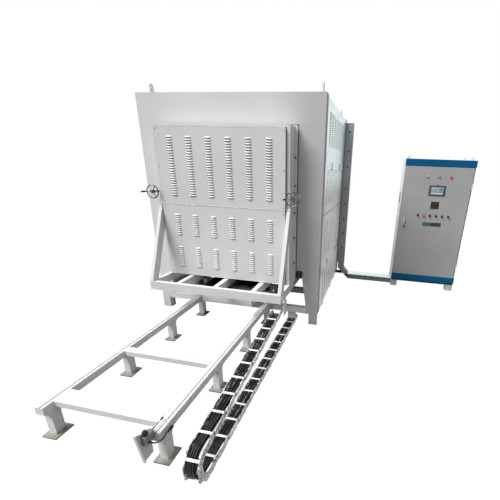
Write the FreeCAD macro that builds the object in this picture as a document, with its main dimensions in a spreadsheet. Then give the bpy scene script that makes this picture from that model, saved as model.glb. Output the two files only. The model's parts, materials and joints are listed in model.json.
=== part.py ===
import FreeCAD, Part
import math
import os

import Sketcher

# Bogie hearth furnace with its rail track, drag chain, cable trunking and control cabinet.
# Origin: on the floor, on the track's centre line, below the furnace's front face.
# X to the right, Y from the front into the furnace, Z up. Sizes in millimetres.

doc = FreeCAD.newDocument("BogieFurnace")
sheet = doc.addObject("Spreadsheet::Sheet", "Sizes")

DRIVING = {
    # furnace body
    "bodyWidth": 1700,
    "bodyHeight": 2042,
    "bodyDepth": 1550,
    "plateThick": 12,
    "frameReturn": 100,
    "mouthWidth": 1040,
    "legClear": 69,
    "legInnerBottom": 735,
    "footWidth": 80,
    "footPost": 60,
    "beamHeight": 57,
    "beamDepth": 60,
    "casingSheet": 6,
    "cavityWidth": 84,
    "roofLining": 268,
    "rearLining": 220,
    "rearGap": 12,
    "shelfBottom": 514,
    "sealGap": 17,
    "sealLift": 5,
    "coverSplit": 1070,
    "coverGap": 6,
    "coverDepth": 30,
    "coverSheet": 3,
    "sideFootFirst": 500,
    "sideFootRear": 465,
    "lugLength": 80,
    "lugRise": 98,
    "lugTopRadius": 24,
    "lugThick": 16,
    "lugHole": 11,
    "lugInset": 58,
    "lugSetback": 144,
    # track
    "railSeat": 169,
    "railGauge": 704,
    "railWidth": 54,
    "railHeight": 51,
    "railWall": 4,
    "railNearEnd": 1713,
    "guideWidth": 12,
    "guideHeight": 5,
    "legWidth": 48,
    "legDepth": 56,
    "legHaunch": 36,
    "soleWidth": 93,
    "soleDepth": 112,
    "soleThick": 8,
    "soleSetback": 55,
    "tieDepth": 105,
    "tieSheet": 35,
    "backTieDepth": 54,
    "legStationOne": 1653,
    "legStationTwo": 1085,
    "legStationThree": 573,
    "legStationFour": 66,
    # bogie
    "deckTop": 468,
    "deckReach": 93,
    "hearthGap": 20,
    "trayReach": 40,
    "bricksHeight": 192,
    "deckHeight": 75,
    "deckBar": 40,
    "deckMiddleBar": 44,
    "deckFront": 446,
    "trayHeight": 40,
    "hearthPlate": 20,
    "wheelRadius": 70,
    "wheelWidth": 50,
    "grooveWidth": 22,
    "grooveDepth": 12,
    "wheelLift": 0.3,
    "axleRadius": 20,
    "axleLength": 820,
    "axleFront": -10,
    "axleRearInset": 272,
    "bearingWidth": 38,
    "bearingGap": 6,
    "bearingPlate": 8,
    "boreClearance": 0.1,
    # door
    "doorFront": 191,
    "frameInset": 8,
    "frameOverlap": 100,
    "coverInset": 34,
    "coverFoot": 8,
    "coverHead": 28,
    "lowerCoverHeight": 655,
    "coverProud": 20,
    "frameBar": 60,
    "flangeReach": 12,
    "flangeRise": 10,
    "flangeThick": 12,
    "flangeGap": 23,
    "plugDepth": 60,
    "plugGap": 20,
    "sealWidth": 34,
    "sealMargin": 26,
    "sealClear": 0.3,
    "braceWidth": 30,
    "braceDepth": 82,
    "braceRise": 684,
    "braceSeat": 190,
    # door clamps
    "clampOffset": 15,
    "clampRise": 764,
    "clampScrew": 10,
    "clampWheel": 56,
    "clampRim": 5,
    "clampWheelSetback": 215,
    "clampHub": 15,
    "clampSpoke": 4,
    "clampGrip": 75,
    "clampGripRadius": 7,
    "clampTipGap": 3,
    "clampLug": 46,
    "socketBore": 15,
    "socketWall": 9,
    "socketLength": 18,
    # drive and chain bracket on the bogie
    "gearboxWidth": 90,
    "gearboxFront": 175,
    "gearboxBack": 65,
    "gearboxHeight": 150,
    "motorRadius": 52,
    "motorLength": 190,
    "motorDrop": 53,
    "motorForward": 115,
    "guardLeft": 230,
    "guardRight": 270,
    "guardFront": 240,
    "guardBack": 102,
    "guardSheet": 3,
    "guardHole": 26,
    "chainBracketThick": 6,
    "chainBracketClear": 8,
    "chainBracketDepth": 70,
    "chainBracketDrop": 100,
    "chainBracketSide": 30,
    # stop bracket and limit switch at the right rail's near end
    "stopThick": 5,
    "stopReach": 98,
    "stopOverlap": 45,
    "stopTop": 286,
    "stopBottom": 90,
    "stopSlope": 28,
    "stopFlange": 9,
    "switchWidth": 28,
    "switchDepth": 60,
    "switchHeight": 50,
    "switchBottom": 196,
    "switchSetback": 4,
    "capRadius": 13.5,
    "capSetback": 42,
    "neckRadius": 5,
    "neckLength": 12,
    "neckRise": 12,
    "whipRise": 10,
    "whipLength": 76,
    "whipRadius": 4,
    "whipTip": 6,
    "cordRadius": 3.5,
    "glandRadius": 8,
    "glandLength": 14,
    "glandSetback": 75,
    "glandRise": 15,
    # drag chain
    "chainInset": 25,
    "chainInside": 70,
    "chainPlate": 3,
    "chainPlateGap": 0.3,
    "chainAnchorThick": 6,
    "chainPitch": 65,
    "chainHeight": 40,
    "chainFloorLinks": 28,
    "chainBendJoints": 4,
    "chainUpperLinks": 20,
    "chainRise": 7,
    "chainBendDistance": 1728,
    "chainBar": 14,
    "chainBarThick": 5,
    "cableSlack": 0.1,
    # trunking
    "trunkWidth": 80,
    "trunkDepth": 100,
    "trunkGap": 14,
    "trunkTop": 2008,
    "trunkSetback": 60,
    "trunkBottom": 5,
    "trunkElbow": 150,
    # control cabinet
    "cabinetLeft": 1611,
    "cabinetForward": 101,
    "cabinetWidth": 800,
    "cabinetDepth": 500,
    "cabinetBottom": 78,
    "cabinetTop": 1624,
    "cabinetSheet": 4,
    "headerHeight": 76,
    "kickHeight": 72,
    "kickBottom": 109,
    "doorThick": 22,
    "doorEdgeGap": 5,
    "plinthSize": 85,
    "hingeRadius": 7,
    "hingeLength": 60,
    "hingePin": 3,
    "hingeGap": 1.5,
    "mountingPlateInset": 50,
    "mountingPlateGap": 30,
    "mountingPlateThick": 3,
    "panelWidth": 190,
    "panelHeight": 120,
    "panelProud": 6,
    "panelBottom": 1212,
    "panelLeft": 311,
    "controllerWidth": 94,
    "controllerHeight": 84,
    "controllerBottom": 1058,
    "lampRadius": 14,
    "lampProud": 16,
    "lampHeight": 1434,
    "lampPitch": 136,
    "switchKnobRadius": 15,
    "switchKnobProud": 24,
    "knobHeight": 972,
    "knobPitch": 72,
    "knobFirst": 224,
    "plateLabelWidth": 222,
    "plateLabelHeight": 46,
    "plateLabelBottom": 842,
    "plateLabelThick": 2,
    "handleSetback": 69,
    "handleWidth": 26,
    "handleBottom": 800,
    "handleHeight": 130,
    "handleProud": 10,
    "leverThick": 12,
    "eyeRadius": 13,
    "eyeBar": 4,
}

for row, (alias, number) in enumerate(DRIVING.items(), start=1):
    sheet.set(f"A{row}", alias)
    sheet.set(f"B{row}", str(number))
    sheet.setAlias(f"B{row}", alias)
doc.recompute()


class Size:
    """A length that knows its number and the sheet expression that gives it."""

    def __init__(self, text, value):
        self.text = text
        self.value = value

    def __add__(self, other):
        other = asSize(other)
        return Size(f"({self.text} + {other.text})", self.value + other.value)

    def __sub__(self, other):
        other = asSize(other)
        return Size(f"({self.text} - {other.text})", self.value - other.value)

    def __mul__(self, other):
        other = asSize(other)
        return Size(f"({self.text} * {other.text})", self.value * other.value)

    def __truediv__(self, other):
        other = asSize(other)
        return Size(f"({self.text} / {other.text})", self.value / other.value)

    def __neg__(self):
        return Size(f"(0 - {self.text})", -self.value)

    __rmul__ = __mul__

    def __radd__(self, other):
        return asSize(other) + self

    def __rsub__(self, other):
        return asSize(other) - self


def asSize(number):
    if isinstance(number, Size):
        return number
    return Size(f"{number}", float(number))


class Named:
    pass


s = Named()
for alias, number in DRIVING.items():
    setattr(s, alias, Size(f"Sizes.{alias}", float(number)))

parts = []


def bind(thing, prop, size):
    size = asSize(size)
    thing.setExpression(prop, size.text)


def place(thing, x=0, y=0, z=0):
    for letter, size in zip("xyz", (x, y, z)):
        if asSize(size).text != "0":
            bind(thing, f"Placement.Base.{letter}", size)
    return thing


def keep(thing, label):
    """Marks an object as a sub-part; its label names its file."""
    thing.Label = label
    parts.append(thing)
    return thing


def block(name, x, y, z):
    """A box between two X, two Y and two Z values."""
    box = doc.addObject("Part::Box", name)
    for prop, (low, high) in zip(("Length", "Width", "Height"), (x, y, z)):
        bind(box, prop, asSize(high) - low)
    return place(box, x[0], y[0], z[0])


def rod(name, radius, length, centre, axis="Z"):
    """A cylinder that starts at centre and runs along an axis."""
    turned = {"X": FreeCAD.Rotation(FreeCAD.Vector(0, 1, 0), 90),
              "Y": FreeCAD.Rotation(FreeCAD.Vector(1, 0, 0), -90),
              "Z": FreeCAD.Rotation()}
    cylinder = doc.addObject("Part::Cylinder", name)
    bind(cylinder, "Radius", radius)
    bind(cylinder, "Height", length)
    cylinder.Placement = FreeCAD.Placement(FreeCAD.Vector(), turned[axis])
    return place(cylinder, *centre)


def prism(name, sides, radius, length):
    """A regular prism that stands on local Z zero; radius is to its corners."""
    solid = doc.addObject("Part::Prism", name)
    solid.Polygon = sides
    bind(solid, "Circumradius", radius)
    bind(solid, "Height", length)
    return solid


def fuse(name, *pieces):
    joined = doc.addObject("Part::MultiFuse", name)
    joined.Shapes = list(pieces)
    return joined


def cut(name, base, tool):
    result = doc.addObject("Part::Cut", name)
    result.Base = base
    result.Tool = tool
    return result


def group(name, pieces):
    """Like solids that share a node and don't touch."""
    compound = doc.addObject("Part::Compound", name)
    compound.Links = list(pieces)
    return compound


def planeOf(body, role):
    for feature in body.Origin.OriginFeatures:
        if feature.Role == role:
            return feature
    raise ValueError(role)


def outline(body, role, loops, circles=()):
    """A sketch of closed polygons and circles, each point bound to sizes."""
    sketch = body.newObject("Sketcher::SketchObject", f"{body.Name}Sketch")
    sketch.AttachmentSupport = [(planeOf(body, role), "")]
    sketch.MapMode = "FlatFace"
    for points in loops:
        corners = [(asSize(x), asSize(y)) for x, y in points]
        first = sketch.GeometryCount
        for index, (x, y) in enumerate(corners):
            nextX, nextY = corners[(index + 1) % len(corners)]
            sketch.addGeometry(Part.LineSegment(FreeCAD.Vector(x.value, y.value, 0),
                                                FreeCAD.Vector(nextX.value, nextY.value, 0)), False)
        for index, (x, y) in enumerate(corners):
            line = first + index
            before = first + (index - 1) % len(corners)
            sketch.addConstraint(Sketcher.Constraint("Coincident", before, 2, line, 1))
            dimension(sketch, "DistanceX", line, 1, x)
            dimension(sketch, "DistanceY", line, 1, y)
    for x, y, radius in circles:
        x, y, radius = asSize(x), asSize(y), asSize(radius)
        ring = sketch.addGeometry(Part.Circle(FreeCAD.Vector(x.value, y.value, 0),
                                              FreeCAD.Vector(0, 0, 1), radius.value), False)
        dimension(sketch, "DistanceX", ring, 3, x)
        dimension(sketch, "DistanceY", ring, 3, y)
        number = sketch.addConstraint(Sketcher.Constraint("Radius", ring, radius.value))
        sketch.setExpression(f"Constraints[{number}]", radius.text)
    return sketch


def dimension(sketch, kind, line, point, size):
    number = sketch.addConstraint(Sketcher.Constraint(kind, -1, 1, line, point, size.value))
    sketch.setExpression(f"Constraints[{number}]", size.text)


def pad(body, sketch, length, reverse=False, middle=False):
    feature = body.newObject("PartDesign::Pad", f"{body.Name}Pad")
    feature.Profile = sketch
    bind(feature, "Length", length)
    feature.Reversed = reverse
    feature.Midplane = middle
    sketch.Visibility = False
    return feature


def pocket(body, sketch, length, reverse=False, middle=False):
    feature = body.newObject("PartDesign::Pocket", f"{body.Name}Pocket")
    feature.Profile = sketch
    bind(feature, "Length", length)
    feature.Reversed = reverse
    feature.Midplane = middle
    return feature


def newBody(name):
    return doc.addObject("PartDesign::Body", name)


def profile(name, role, loops, length, at=(0, 0, 0), circles=(), reverse=False, middle=False):
    """A Body with one padded outline, placed at a point."""
    body = newBody(name)
    pad(body, outline(body, role, loops, circles), length, reverse, middle)
    return place(body, *at)


def turned(name, points, at=(0, 0, 0)):
    """A Body revolved about its X axis from a half outline of (along, radius) points."""
    body = newBody(name)
    sketch = outline(body, "XY_Plane", [points])
    feature = body.newObject("PartDesign::Revolution", f"{name}Turn")
    feature.Profile = sketch
    feature.ReferenceAxis = (sketch, ["H_Axis"])
    feature.Angle = 360
    return place(body, *at)


def span(one, other):
    """Two sizes in rising order."""
    one, other = asSize(one), asSize(other)
    return (one, other) if one.value <= other.value else (other, one)


def ringSection(radius, thick):
    """Half outline of a ring with chamfered edges, for turning about its axis."""
    edge = thick * 0.45
    return [(-thick, radius - edge), (-thick, radius + edge), (-edge, radius + thick), (edge, radius + thick),
            (thick, radius + edge), (thick, radius - edge), (edge, radius - thick), (-edge, radius - thick)]


def rectangle(x, y):
    return [(x[0], y[0]), (x[1], y[0]), (x[1], y[1]), (x[0], y[1])]


# Heights and widths that several pieces share.
half = s.bodyWidth / 2
mouthHalf = s.mouthWidth / 2
railBottom = s.railSeat
railTop = railBottom + s.railHeight
beamBottom = railBottom - s.beamHeight
railHalf = s.railGauge / 2
deckBottom = s.deckTop - s.deckHeight
casingHalf = half - s.cavityWidth
roofBottom = s.bodyHeight - s.cavityWidth
trayTop = s.deckTop + s.trayHeight
hearthTop = trayTop + s.bricksHeight
mouthTop = roofBottom - s.roofLining
deckHalf = mouthHalf + s.deckReach
hearthHalf = mouthHalf - s.hearthGap
trayHalf = mouthHalf + s.trayReach
legInnerTop = deckHalf + s.legClear
frameHalf = deckHalf - s.frameInset
frameTop = mouthTop + s.frameOverlap
flangeHalf = deckHalf + s.flangeReach
flangeTop = frameTop + s.flangeRise
doorHalf = frameHalf - s.coverInset
doorBottom = s.deckTop + s.coverFoot
doorSplit = doorBottom + s.lowerCoverHeight
doorTop = frameTop - s.coverHead
braceTop = s.deckTop + s.braceRise
clampReach = flangeHalf + s.clampOffset
clampHeight = s.deckTop + s.clampRise
chainCentre = deckHalf - s.chainInset
trunkFront = s.bodyDepth - s.trunkSetback
cableRadius = s.chainHeight / 2 - s.chainBarThick - s.cableSlack
cabinetFront = trunkFront - s.cabinetForward
liningEnd = s.bodyDepth - s.plateThick - s.cavityWidth
chamberEnd = liningEnd - s.rearLining
hearthLength = chamberEnd - s.rearGap
axleRear = hearthLength - s.axleRearInset
sideFootSecond = s.bodyDepth - s.sideFootRear


def furnaceFrame():
    """Front plate with its mouth, legs and folded edges."""
    body = newBody("FrontFrame")
    right = [(half, 0), (half, s.bodyHeight)]
    left = [(-half, s.bodyHeight), (-half, 0)]
    inner = [(s.legInnerBottom, beamBottom), (s.legInnerBottom, railBottom),
             (legInnerTop, s.shelfBottom), (mouthHalf, s.shelfBottom), (mouthHalf, mouthTop)]
    footInner = half - s.footWidth
    points = right + left + [(-footInner, 0), (-footInner, beamBottom)]
    points += [(-x, z) for x, z in inner] + inner[::-1]
    points += [(footInner, beamBottom), (footInner, 0)]
    pad(body, outline(body, "XZ_Plane", [points]), s.plateThick, reverse=True)
    rimInner = half - s.plateThick
    rimTop = s.bodyHeight - s.plateThick
    rim = [(half, beamBottom), (half, s.bodyHeight), (-half, s.bodyHeight), (-half, beamBottom),
           (-rimInner, beamBottom), (-rimInner, rimTop), (rimInner, rimTop), (rimInner, beamBottom)]
    pad(body, outline(body, "XZ_Plane", [rim]), s.frameReturn, reverse=True)
    keep(body, "front_frame")
    rear = newBody("RearFrame")
    pad(rear, outline(rear, "XZ_Plane", [rectangle((-half, half), (beamBottom, s.bodyHeight))]),
        s.plateThick)
    pad(rear, outline(rear, "XZ_Plane", [rim]), s.frameReturn)
    keep(place(rear, 0, s.bodyDepth, 0), "rear_frame")


def furnaceBase():
    """Welded base of cross beams that carry the rails and side beams, and its feet."""
    reach = s.legInnerBottom
    pieces = [block("FrontBeam", (-reach, reach), (s.plateThick, s.beamDepth), (beamBottom, railBottom))]
    inside = half - s.coverDepth - s.footPost
    stations = [s.sideFootFirst, sideFootSecond, s.bodyDepth - s.plateThick - s.beamDepth]
    pieces += [block(f"CrossBeam{n}", (-inside, inside), (y, y + s.beamDepth), (beamBottom, railBottom))
               for n, y in enumerate(stations)]
    feet = []
    for name, sign in (("left", -1), ("right", 1)):
        edges = span(sign * inside, sign * (inside + s.footPost))
        pieces.append(block(f"{name}Beam", edges, (s.plateThick, s.bodyDepth - s.plateThick),
                            (beamBottom, railBottom)))
        link = span(sign * reach, sign * inside)
        pieces.append(block(f"{name}Link", link, (s.plateThick, s.beamDepth), (beamBottom, railBottom)))
        feet += [block(f"{name}Foot{n}", edges, (y, y + s.footPost), (0, beamBottom))
                 for n, y in enumerate([s.plateThick] + stations)]
    sill = block("FrontSill", (-reach, reach), (0, s.plateThick), (beamBottom, railBottom))
    keep(fuse("BaseFrame", sill, *pieces, *chainAnchor()), "base_frame")
    keep(group("Feet", feet), "furnace_feet")


def chainAnchor():
    """Angle below the front beam that holds the drag chain's floor end."""
    wide = s.chainInside / 2 + s.chainPlate * 2
    end = s.chainPitch * s.chainFloorLinks - s.chainBendDistance
    upright = block("AnchorUpright", (chainCentre - wide, chainCentre + wide),
                    (s.plateThick, s.plateThick + s.chainAnchorThick),
                    (s.chainHeight, beamBottom))
    foot = block("AnchorFoot", (chainCentre - wide, chainCentre + wide), (s.plateThick, end),
                 (s.chainHeight, s.chainHeight + s.chainAnchorThick))
    return [upright, foot]


def furnaceShell():
    """Inner casing, fibre lining, roof and edge seals."""
    inner = casingHalf - s.casingSheet
    depth = (s.plateThick, liningEnd)
    sheets = [block("RearCasing", (-casingHalf, casingHalf), (liningEnd, liningEnd + s.casingSheet),
                    (s.shelfBottom, roofBottom))]
    linings = []
    seals = []
    for name, sign in (("left", -1), ("right", 1)):
        sheets.append(block(f"{name}Casing", span(sign * inner, sign * casingHalf), depth,
                            (s.shelfBottom, roofBottom)))
        sheets.append(block(f"{name}Shelf", span(sign * mouthHalf, sign * inner), depth,
                            (s.shelfBottom, s.shelfBottom + s.casingSheet)))
        linings.append(block(f"{name}Lining", span(sign * mouthHalf, sign * inner), depth,
                             (s.shelfBottom + s.casingSheet, mouthTop)))
        seals.append(block(f"{name}Seal", span(sign * (deckHalf + s.sealGap), sign * legInnerTop), depth,
                           (s.deckTop + s.sealLift, s.shelfBottom)))
    keep(fuse("Casing", *sheets), "inner_casing")
    keep(group("WallLinings", linings), "wall_linings")
    keep(group("EdgeSeals", seals), "edge_seals")
    keep(block("RoofLining", (-inner, inner), depth, (mouthTop, mouthTop + s.roofLining)),
         "roof_lining")
    keep(block("RearLining", (-mouthHalf, mouthHalf), (chamberEnd, liningEnd),
               (s.shelfBottom + s.casingSheet, mouthTop)), "rear_lining")
    edge = half - s.plateThick
    keep(block("RoofCover", (-edge, edge), (s.frameReturn, s.bodyDepth - s.frameReturn),
               (s.bodyHeight - s.plateThick, s.bodyHeight)), "roof_cover")


def tray(name, width, height, depth, wall):
    """A folded sheet cover, face down at local Z zero: pan with edges towards +Z."""
    body = newBody(name)
    pad(body, outline(body, "XY_Plane", [rectangle((0, width), (0, height))]), depth)
    inside = outline(body, "XY_Plane", [rectangle((wall, width - wall), (wall, height - wall))])
    inside.AttachmentOffset = FreeCAD.Placement(FreeCAD.Vector(0, 0, wall.value), FreeCAD.Rotation())
    bind(inside, "AttachmentOffset.Base.z", wall)
    pocket(body, inside, depth, reverse=True)
    return body


def sideCovers():
    """Lift-off louvred covers, two wide and two high on each side."""
    start = s.frameReturn
    end = s.bodyDepth - s.frameReturn
    width = (end - start - s.coverGap) / 2
    rows = (("lower", beamBottom, s.coverSplit), ("upper", s.coverSplit + s.coverGap,
                                                  s.bodyHeight - s.plateThick - s.coverGap))
    for row, low, high in rows:
        covers = []
        for name, sign in (("left", -1), ("right", 1)):
            for n in range(2):
                cover = tray(f"{name}{row}Cover{n}", width, high - low, s.coverDepth, s.coverSheet)
                y = start + (width + s.coverGap) * n
                if sign > 0:
                    cover.Placement.Rotation = FreeCAD.Rotation(FreeCAD.Vector(0, -1, 0),
                                                                FreeCAD.Vector(0, 0, 1),
                                                                FreeCAD.Vector(-1, 0, 0), "ZXY")
                    place(cover, half, y + width, low)
                else:
                    cover.Placement.Rotation = FreeCAD.Rotation(FreeCAD.Vector(0, 1, 0),
                                                                FreeCAD.Vector(0, 0, 1),
                                                                FreeCAD.Vector(1, 0, 0), "ZXY")
                    place(cover, -half, y, low)
                covers.append(cover)
        keep(group(f"{row}Covers", covers), f"{row}_side_covers")


def liftingLugs():
    """Holed plates welded on the roof, one near each corner."""
    lugs = []
    top = s.lugTopRadius
    rise = s.lugRise - top
    foot = s.lugLength / 2
    inset = half - s.lugInset
    for n, (sign, y) in enumerate([(-1, s.lugSetback), (1, s.lugSetback),
                                   (-1, s.bodyDepth - s.lugSetback), (1, s.bodyDepth - s.lugSetback)]):
        x = sign * inset
        web = profile(f"LugWeb{n}", "YZ_Plane", [[(-foot, 0), (foot, 0), (top, rise), (-top, rise)]],
                      s.lugThick, middle=True)
        crown = rod(f"LugCrown{n}", top, s.lugThick, (-s.lugThick / 2, 0, rise), "X")
        hole = rod(f"LugHole{n}", s.lugHole, s.lugThick * 3, (-s.lugThick * 1.5, 0, rise), "X")
        lugs.append(place(cut(f"Lug{n}", fuse(f"LugPlate{n}", web, crown), hole), x, y, s.bodyHeight))
    keep(group("Lugs", lugs), "lifting_lugs")


def track():
    """Rails with guide strips, haunched legs on sole plates, and cross ties."""
    length = s.railNearEnd + s.bodyDepth - s.plateThick
    wide = s.railWidth / 2
    strip = s.guideWidth / 2
    section = [(-wide, 0), (wide, 0), (wide, s.railHeight), (strip, s.railHeight),
               (strip, s.railHeight + s.guideHeight), (-strip, s.railHeight + s.guideHeight),
               (-strip, s.railHeight), (-wide, s.railHeight)]
    hollow = rectangle((-(wide - s.railWall), wide - s.railWall), (s.railWall, s.railHeight - s.railWall))
    stations = [s.legStationOne, s.legStationTwo, s.legStationThree, s.legStationFour]
    legs = []
    for name, sign in (("left", -1), ("right", 1)):
        body = newBody(f"{name}Rail")
        pad(body, outline(body, "XZ_Plane", [section]), length, reverse=True)
        bore = outline(body, "XZ_Plane", [hollow])
        bind(bore, "AttachmentOffset.Base.z", -s.railWall)
        pocket(body, bore, length)
        keep(place(body, sign * railHalf, -s.railNearEnd, railBottom), f"{name}_rail")
        for n, y in enumerate(stations):
            deep = s.legDepth / 2
            flare = s.legHaunch
            top = railBottom - s.soleThick
            shape = [(-deep, 0), (deep, 0), (deep, top - flare), (deep + flare * 0.12, top - flare * 0.5),
                     (deep + flare * 0.45, top - flare * 0.12), (deep + flare, top),
                     (-(deep + flare), top), (-(deep + flare * 0.45), top - flare * 0.12),
                     (-(deep + flare * 0.12), top - flare * 0.5), (-deep, top - flare)]
            post = profile(f"{name}Post{n}", "YZ_Plane", [shape], s.legWidth, middle=True,
                           at=(sign * railHalf, -y, s.soleThick))
            sole = block(f"{name}Sole{n}",
                         (sign * railHalf - s.soleWidth / 2, sign * railHalf + s.soleWidth / 2),
                         (-y - s.soleDepth / 2, -y + s.soleDepth / 2), (0, s.soleThick))
            legs.append(fuse(f"{name}Leg{n}", post, sole))
    keep(group("RailLegs", legs), "rail_legs")
    between = railHalf - wide
    near = -s.legStationOne
    back = -s.legStationTwo - s.backTieDepth
    heights = (railTop - s.tieSheet, railTop)
    ties = [block("NearTie", (-between, between), (near, near + s.tieDepth), heights),
            block("BackTie", (-between, between), (back, back + s.backTieDepth), heights)]
    keep(group("Ties", ties), "track_ties")


def bogieDeck():
    """Welded deck of rectangular tubes with the hearth on it."""
    back = hearthLength
    front = -s.deckFront
    heights = (deckBottom, s.deckTop)
    along = (front + s.deckBar, back - s.deckBar)
    bars = [block("FrontBar", (-deckHalf, deckHalf), (front, front + s.deckBar), heights),
            block("RearBar", (-deckHalf, deckHalf), (back - s.deckBar, back), heights)]
    for name, sign in (("left", -1), ("right", 1)):
        bars.append(block(f"{name}SideBar", span(sign * (deckHalf - s.deckBar), sign * deckHalf),
                          along, heights))
    middle = s.deckMiddleBar / 2
    bars += [block(f"DeckBar{n}", (x - middle, x + middle), along, heights)
             for n, x in enumerate((-railHalf, asSize(0), railHalf))]
    keep(fuse("Deck", *bars), "bogie_deck")
    keep(block("HearthTray", (-trayHalf, trayHalf), (-s.flangeGap, back), (s.deckTop, trayTop)),
         "hearth_tray")
    keep(block("HearthBricks", (-hearthHalf, hearthHalf), (-s.flangeGap, back), (trayTop, hearthTop)),
         "hearth_bricks")
    start = s.plugDepth + s.plugGap
    keep(block("HearthPlate", (-(hearthHalf - s.deckBar), hearthHalf - s.deckBar),
               (start, back - s.deckBar), (hearthTop, hearthTop + s.hearthPlate)), "hearth_plate")


def wheelsets():
    """Grooved wheels on through axles, and the bearing blocks that hang from the deck."""
    height = railTop + s.wheelRadius + s.wheelLift
    groove = s.grooveWidth / 2
    wide = s.wheelWidth / 2
    tread = [(-wide, s.axleRadius), (-wide, s.wheelRadius), (-groove, s.wheelRadius),
             (-groove, s.wheelRadius - s.grooveDepth), (groove, s.wheelRadius - s.grooveDepth),
             (groove, s.wheelRadius), (wide, s.wheelRadius), (wide, s.axleRadius)]
    blocks = []
    for name, y in (("front", s.axleFront), ("rear", axleRear)):
        rolling = [rod(f"{name}Axle", s.axleRadius, s.axleLength, (-s.axleLength / 2, y, height), "X")]
        for side, sign in (("left", -1), ("right", 1)):
            rolling.append(turned(f"{name}{side}Wheel", tread, at=(sign * railHalf, y, height)))
            inner = railHalf - wide - s.bearingGap - s.bearingWidth
            edges = span(sign * inner, sign * (inner + s.bearingWidth))
            plateEdges = span(sign * inner, sign * (railHalf + s.deckMiddleBar / 2))
            deep = s.axleRadius * 2
            housing = block(f"{name}{side}Housing", edges, (y - deep, y + deep),
                            (height - deep, deckBottom - s.bearingPlate))
            plate = block(f"{name}{side}Hanger", plateEdges, (y - deep, y + deep),
                          (deckBottom - s.bearingPlate, deckBottom))
            bore = rod(f"{name}{side}Bore", s.axleRadius + s.boreClearance, s.bearingWidth * 3,
                       (edges[0] - s.bearingWidth, y, height), "X")
            blocks.append(cut(f"{name}{side}Bearing", fuse(f"{name}{side}Block", housing, plate), bore))
        keep(fuse(f"{name}Wheelset", *rolling), f"{name}_wheelset")
    keep(group("Bearings", blocks), "axle_bearings")


def door():
    """Door on the bogie: frame with its flange, lining, seal and two front covers."""
    front = -s.doorFront
    face = front + s.coverProud
    back = -(s.flangeGap + s.flangeThick)
    outer = rectangle((-frameHalf, frameHalf), (s.deckTop, frameTop))
    bar = s.frameBar
    inner = rectangle((-(frameHalf - bar), frameHalf - bar), (s.deckTop + bar, frameTop - bar))
    frame = newBody("DoorFrame")
    ring = outline(frame, "XZ_Plane", [outer, inner])
    bind(ring, "AttachmentOffset.Base.z", -back)
    pad(frame, ring, back - face)
    plate = outline(frame, "XZ_Plane", [rectangle((-flangeHalf, flangeHalf), (s.deckTop, flangeTop))])
    bind(plate, "AttachmentOffset.Base.z", -back)
    pad(frame, plate, s.flangeThick, reverse=True)
    keep(frame, "door_frame")
    plugHalf = mouthHalf - s.plugGap
    keep(block("DoorPlug", (-plugHalf, plugHalf), (-s.flangeGap, s.plugDepth),
               (hearthTop, mouthTop - s.plugGap)), "door_lining")
    sealOuter = mouthHalf + s.sealMargin + s.sealWidth
    sealInner = mouthHalf + s.sealMargin
    sealTop = mouthTop + s.sealMargin + s.sealWidth
    low = trayTop + s.sealMargin
    loop = [(sealOuter, low), (sealOuter, sealTop), (-sealOuter, sealTop), (-sealOuter, low),
            (-sealInner, low), (-sealInner, sealTop - s.sealWidth), (sealInner, sealTop - s.sealWidth),
            (sealInner, low)]
    keep(profile("DoorSeal", "XZ_Plane", [loop], s.flangeGap - s.sealClear, at=(0, -s.flangeGap, 0),
                 reverse=True), "door_seal")
    for name, low, high in (("lower", doorBottom, doorSplit - s.coverSheet),
                            ("upper", doorSplit + s.coverSheet, doorTop)):
        cover = tray(f"Door{name}Cover", doorHalf * 2, high - low, s.coverProud, s.coverSheet)
        cover.Placement.Rotation = FreeCAD.Rotation(FreeCAD.Vector(-1, 0, 0), FreeCAD.Vector(0, 0, 1),
                                                    FreeCAD.Vector(0, 1, 0), "ZXY")
        keep(place(cover, doorHalf, front, low), f"door_{name}_cover")
    braces = []
    for name, sign in (("left", -1), ("right", 1)):
        points = [(-s.deckFront, s.deckTop), (-s.deckFront + s.braceDepth, s.deckTop),
                  (face, braceTop - s.braceSeat), (face, braceTop)]
        x = deckHalf - s.braceWidth / 2
        braces.append(profile(f"{name}Brace", "YZ_Plane", [points], s.braceWidth, middle=True,
                              at=(sign * x, 0, 0)))
    keep(group("Braces", braces), "door_braces")


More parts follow.
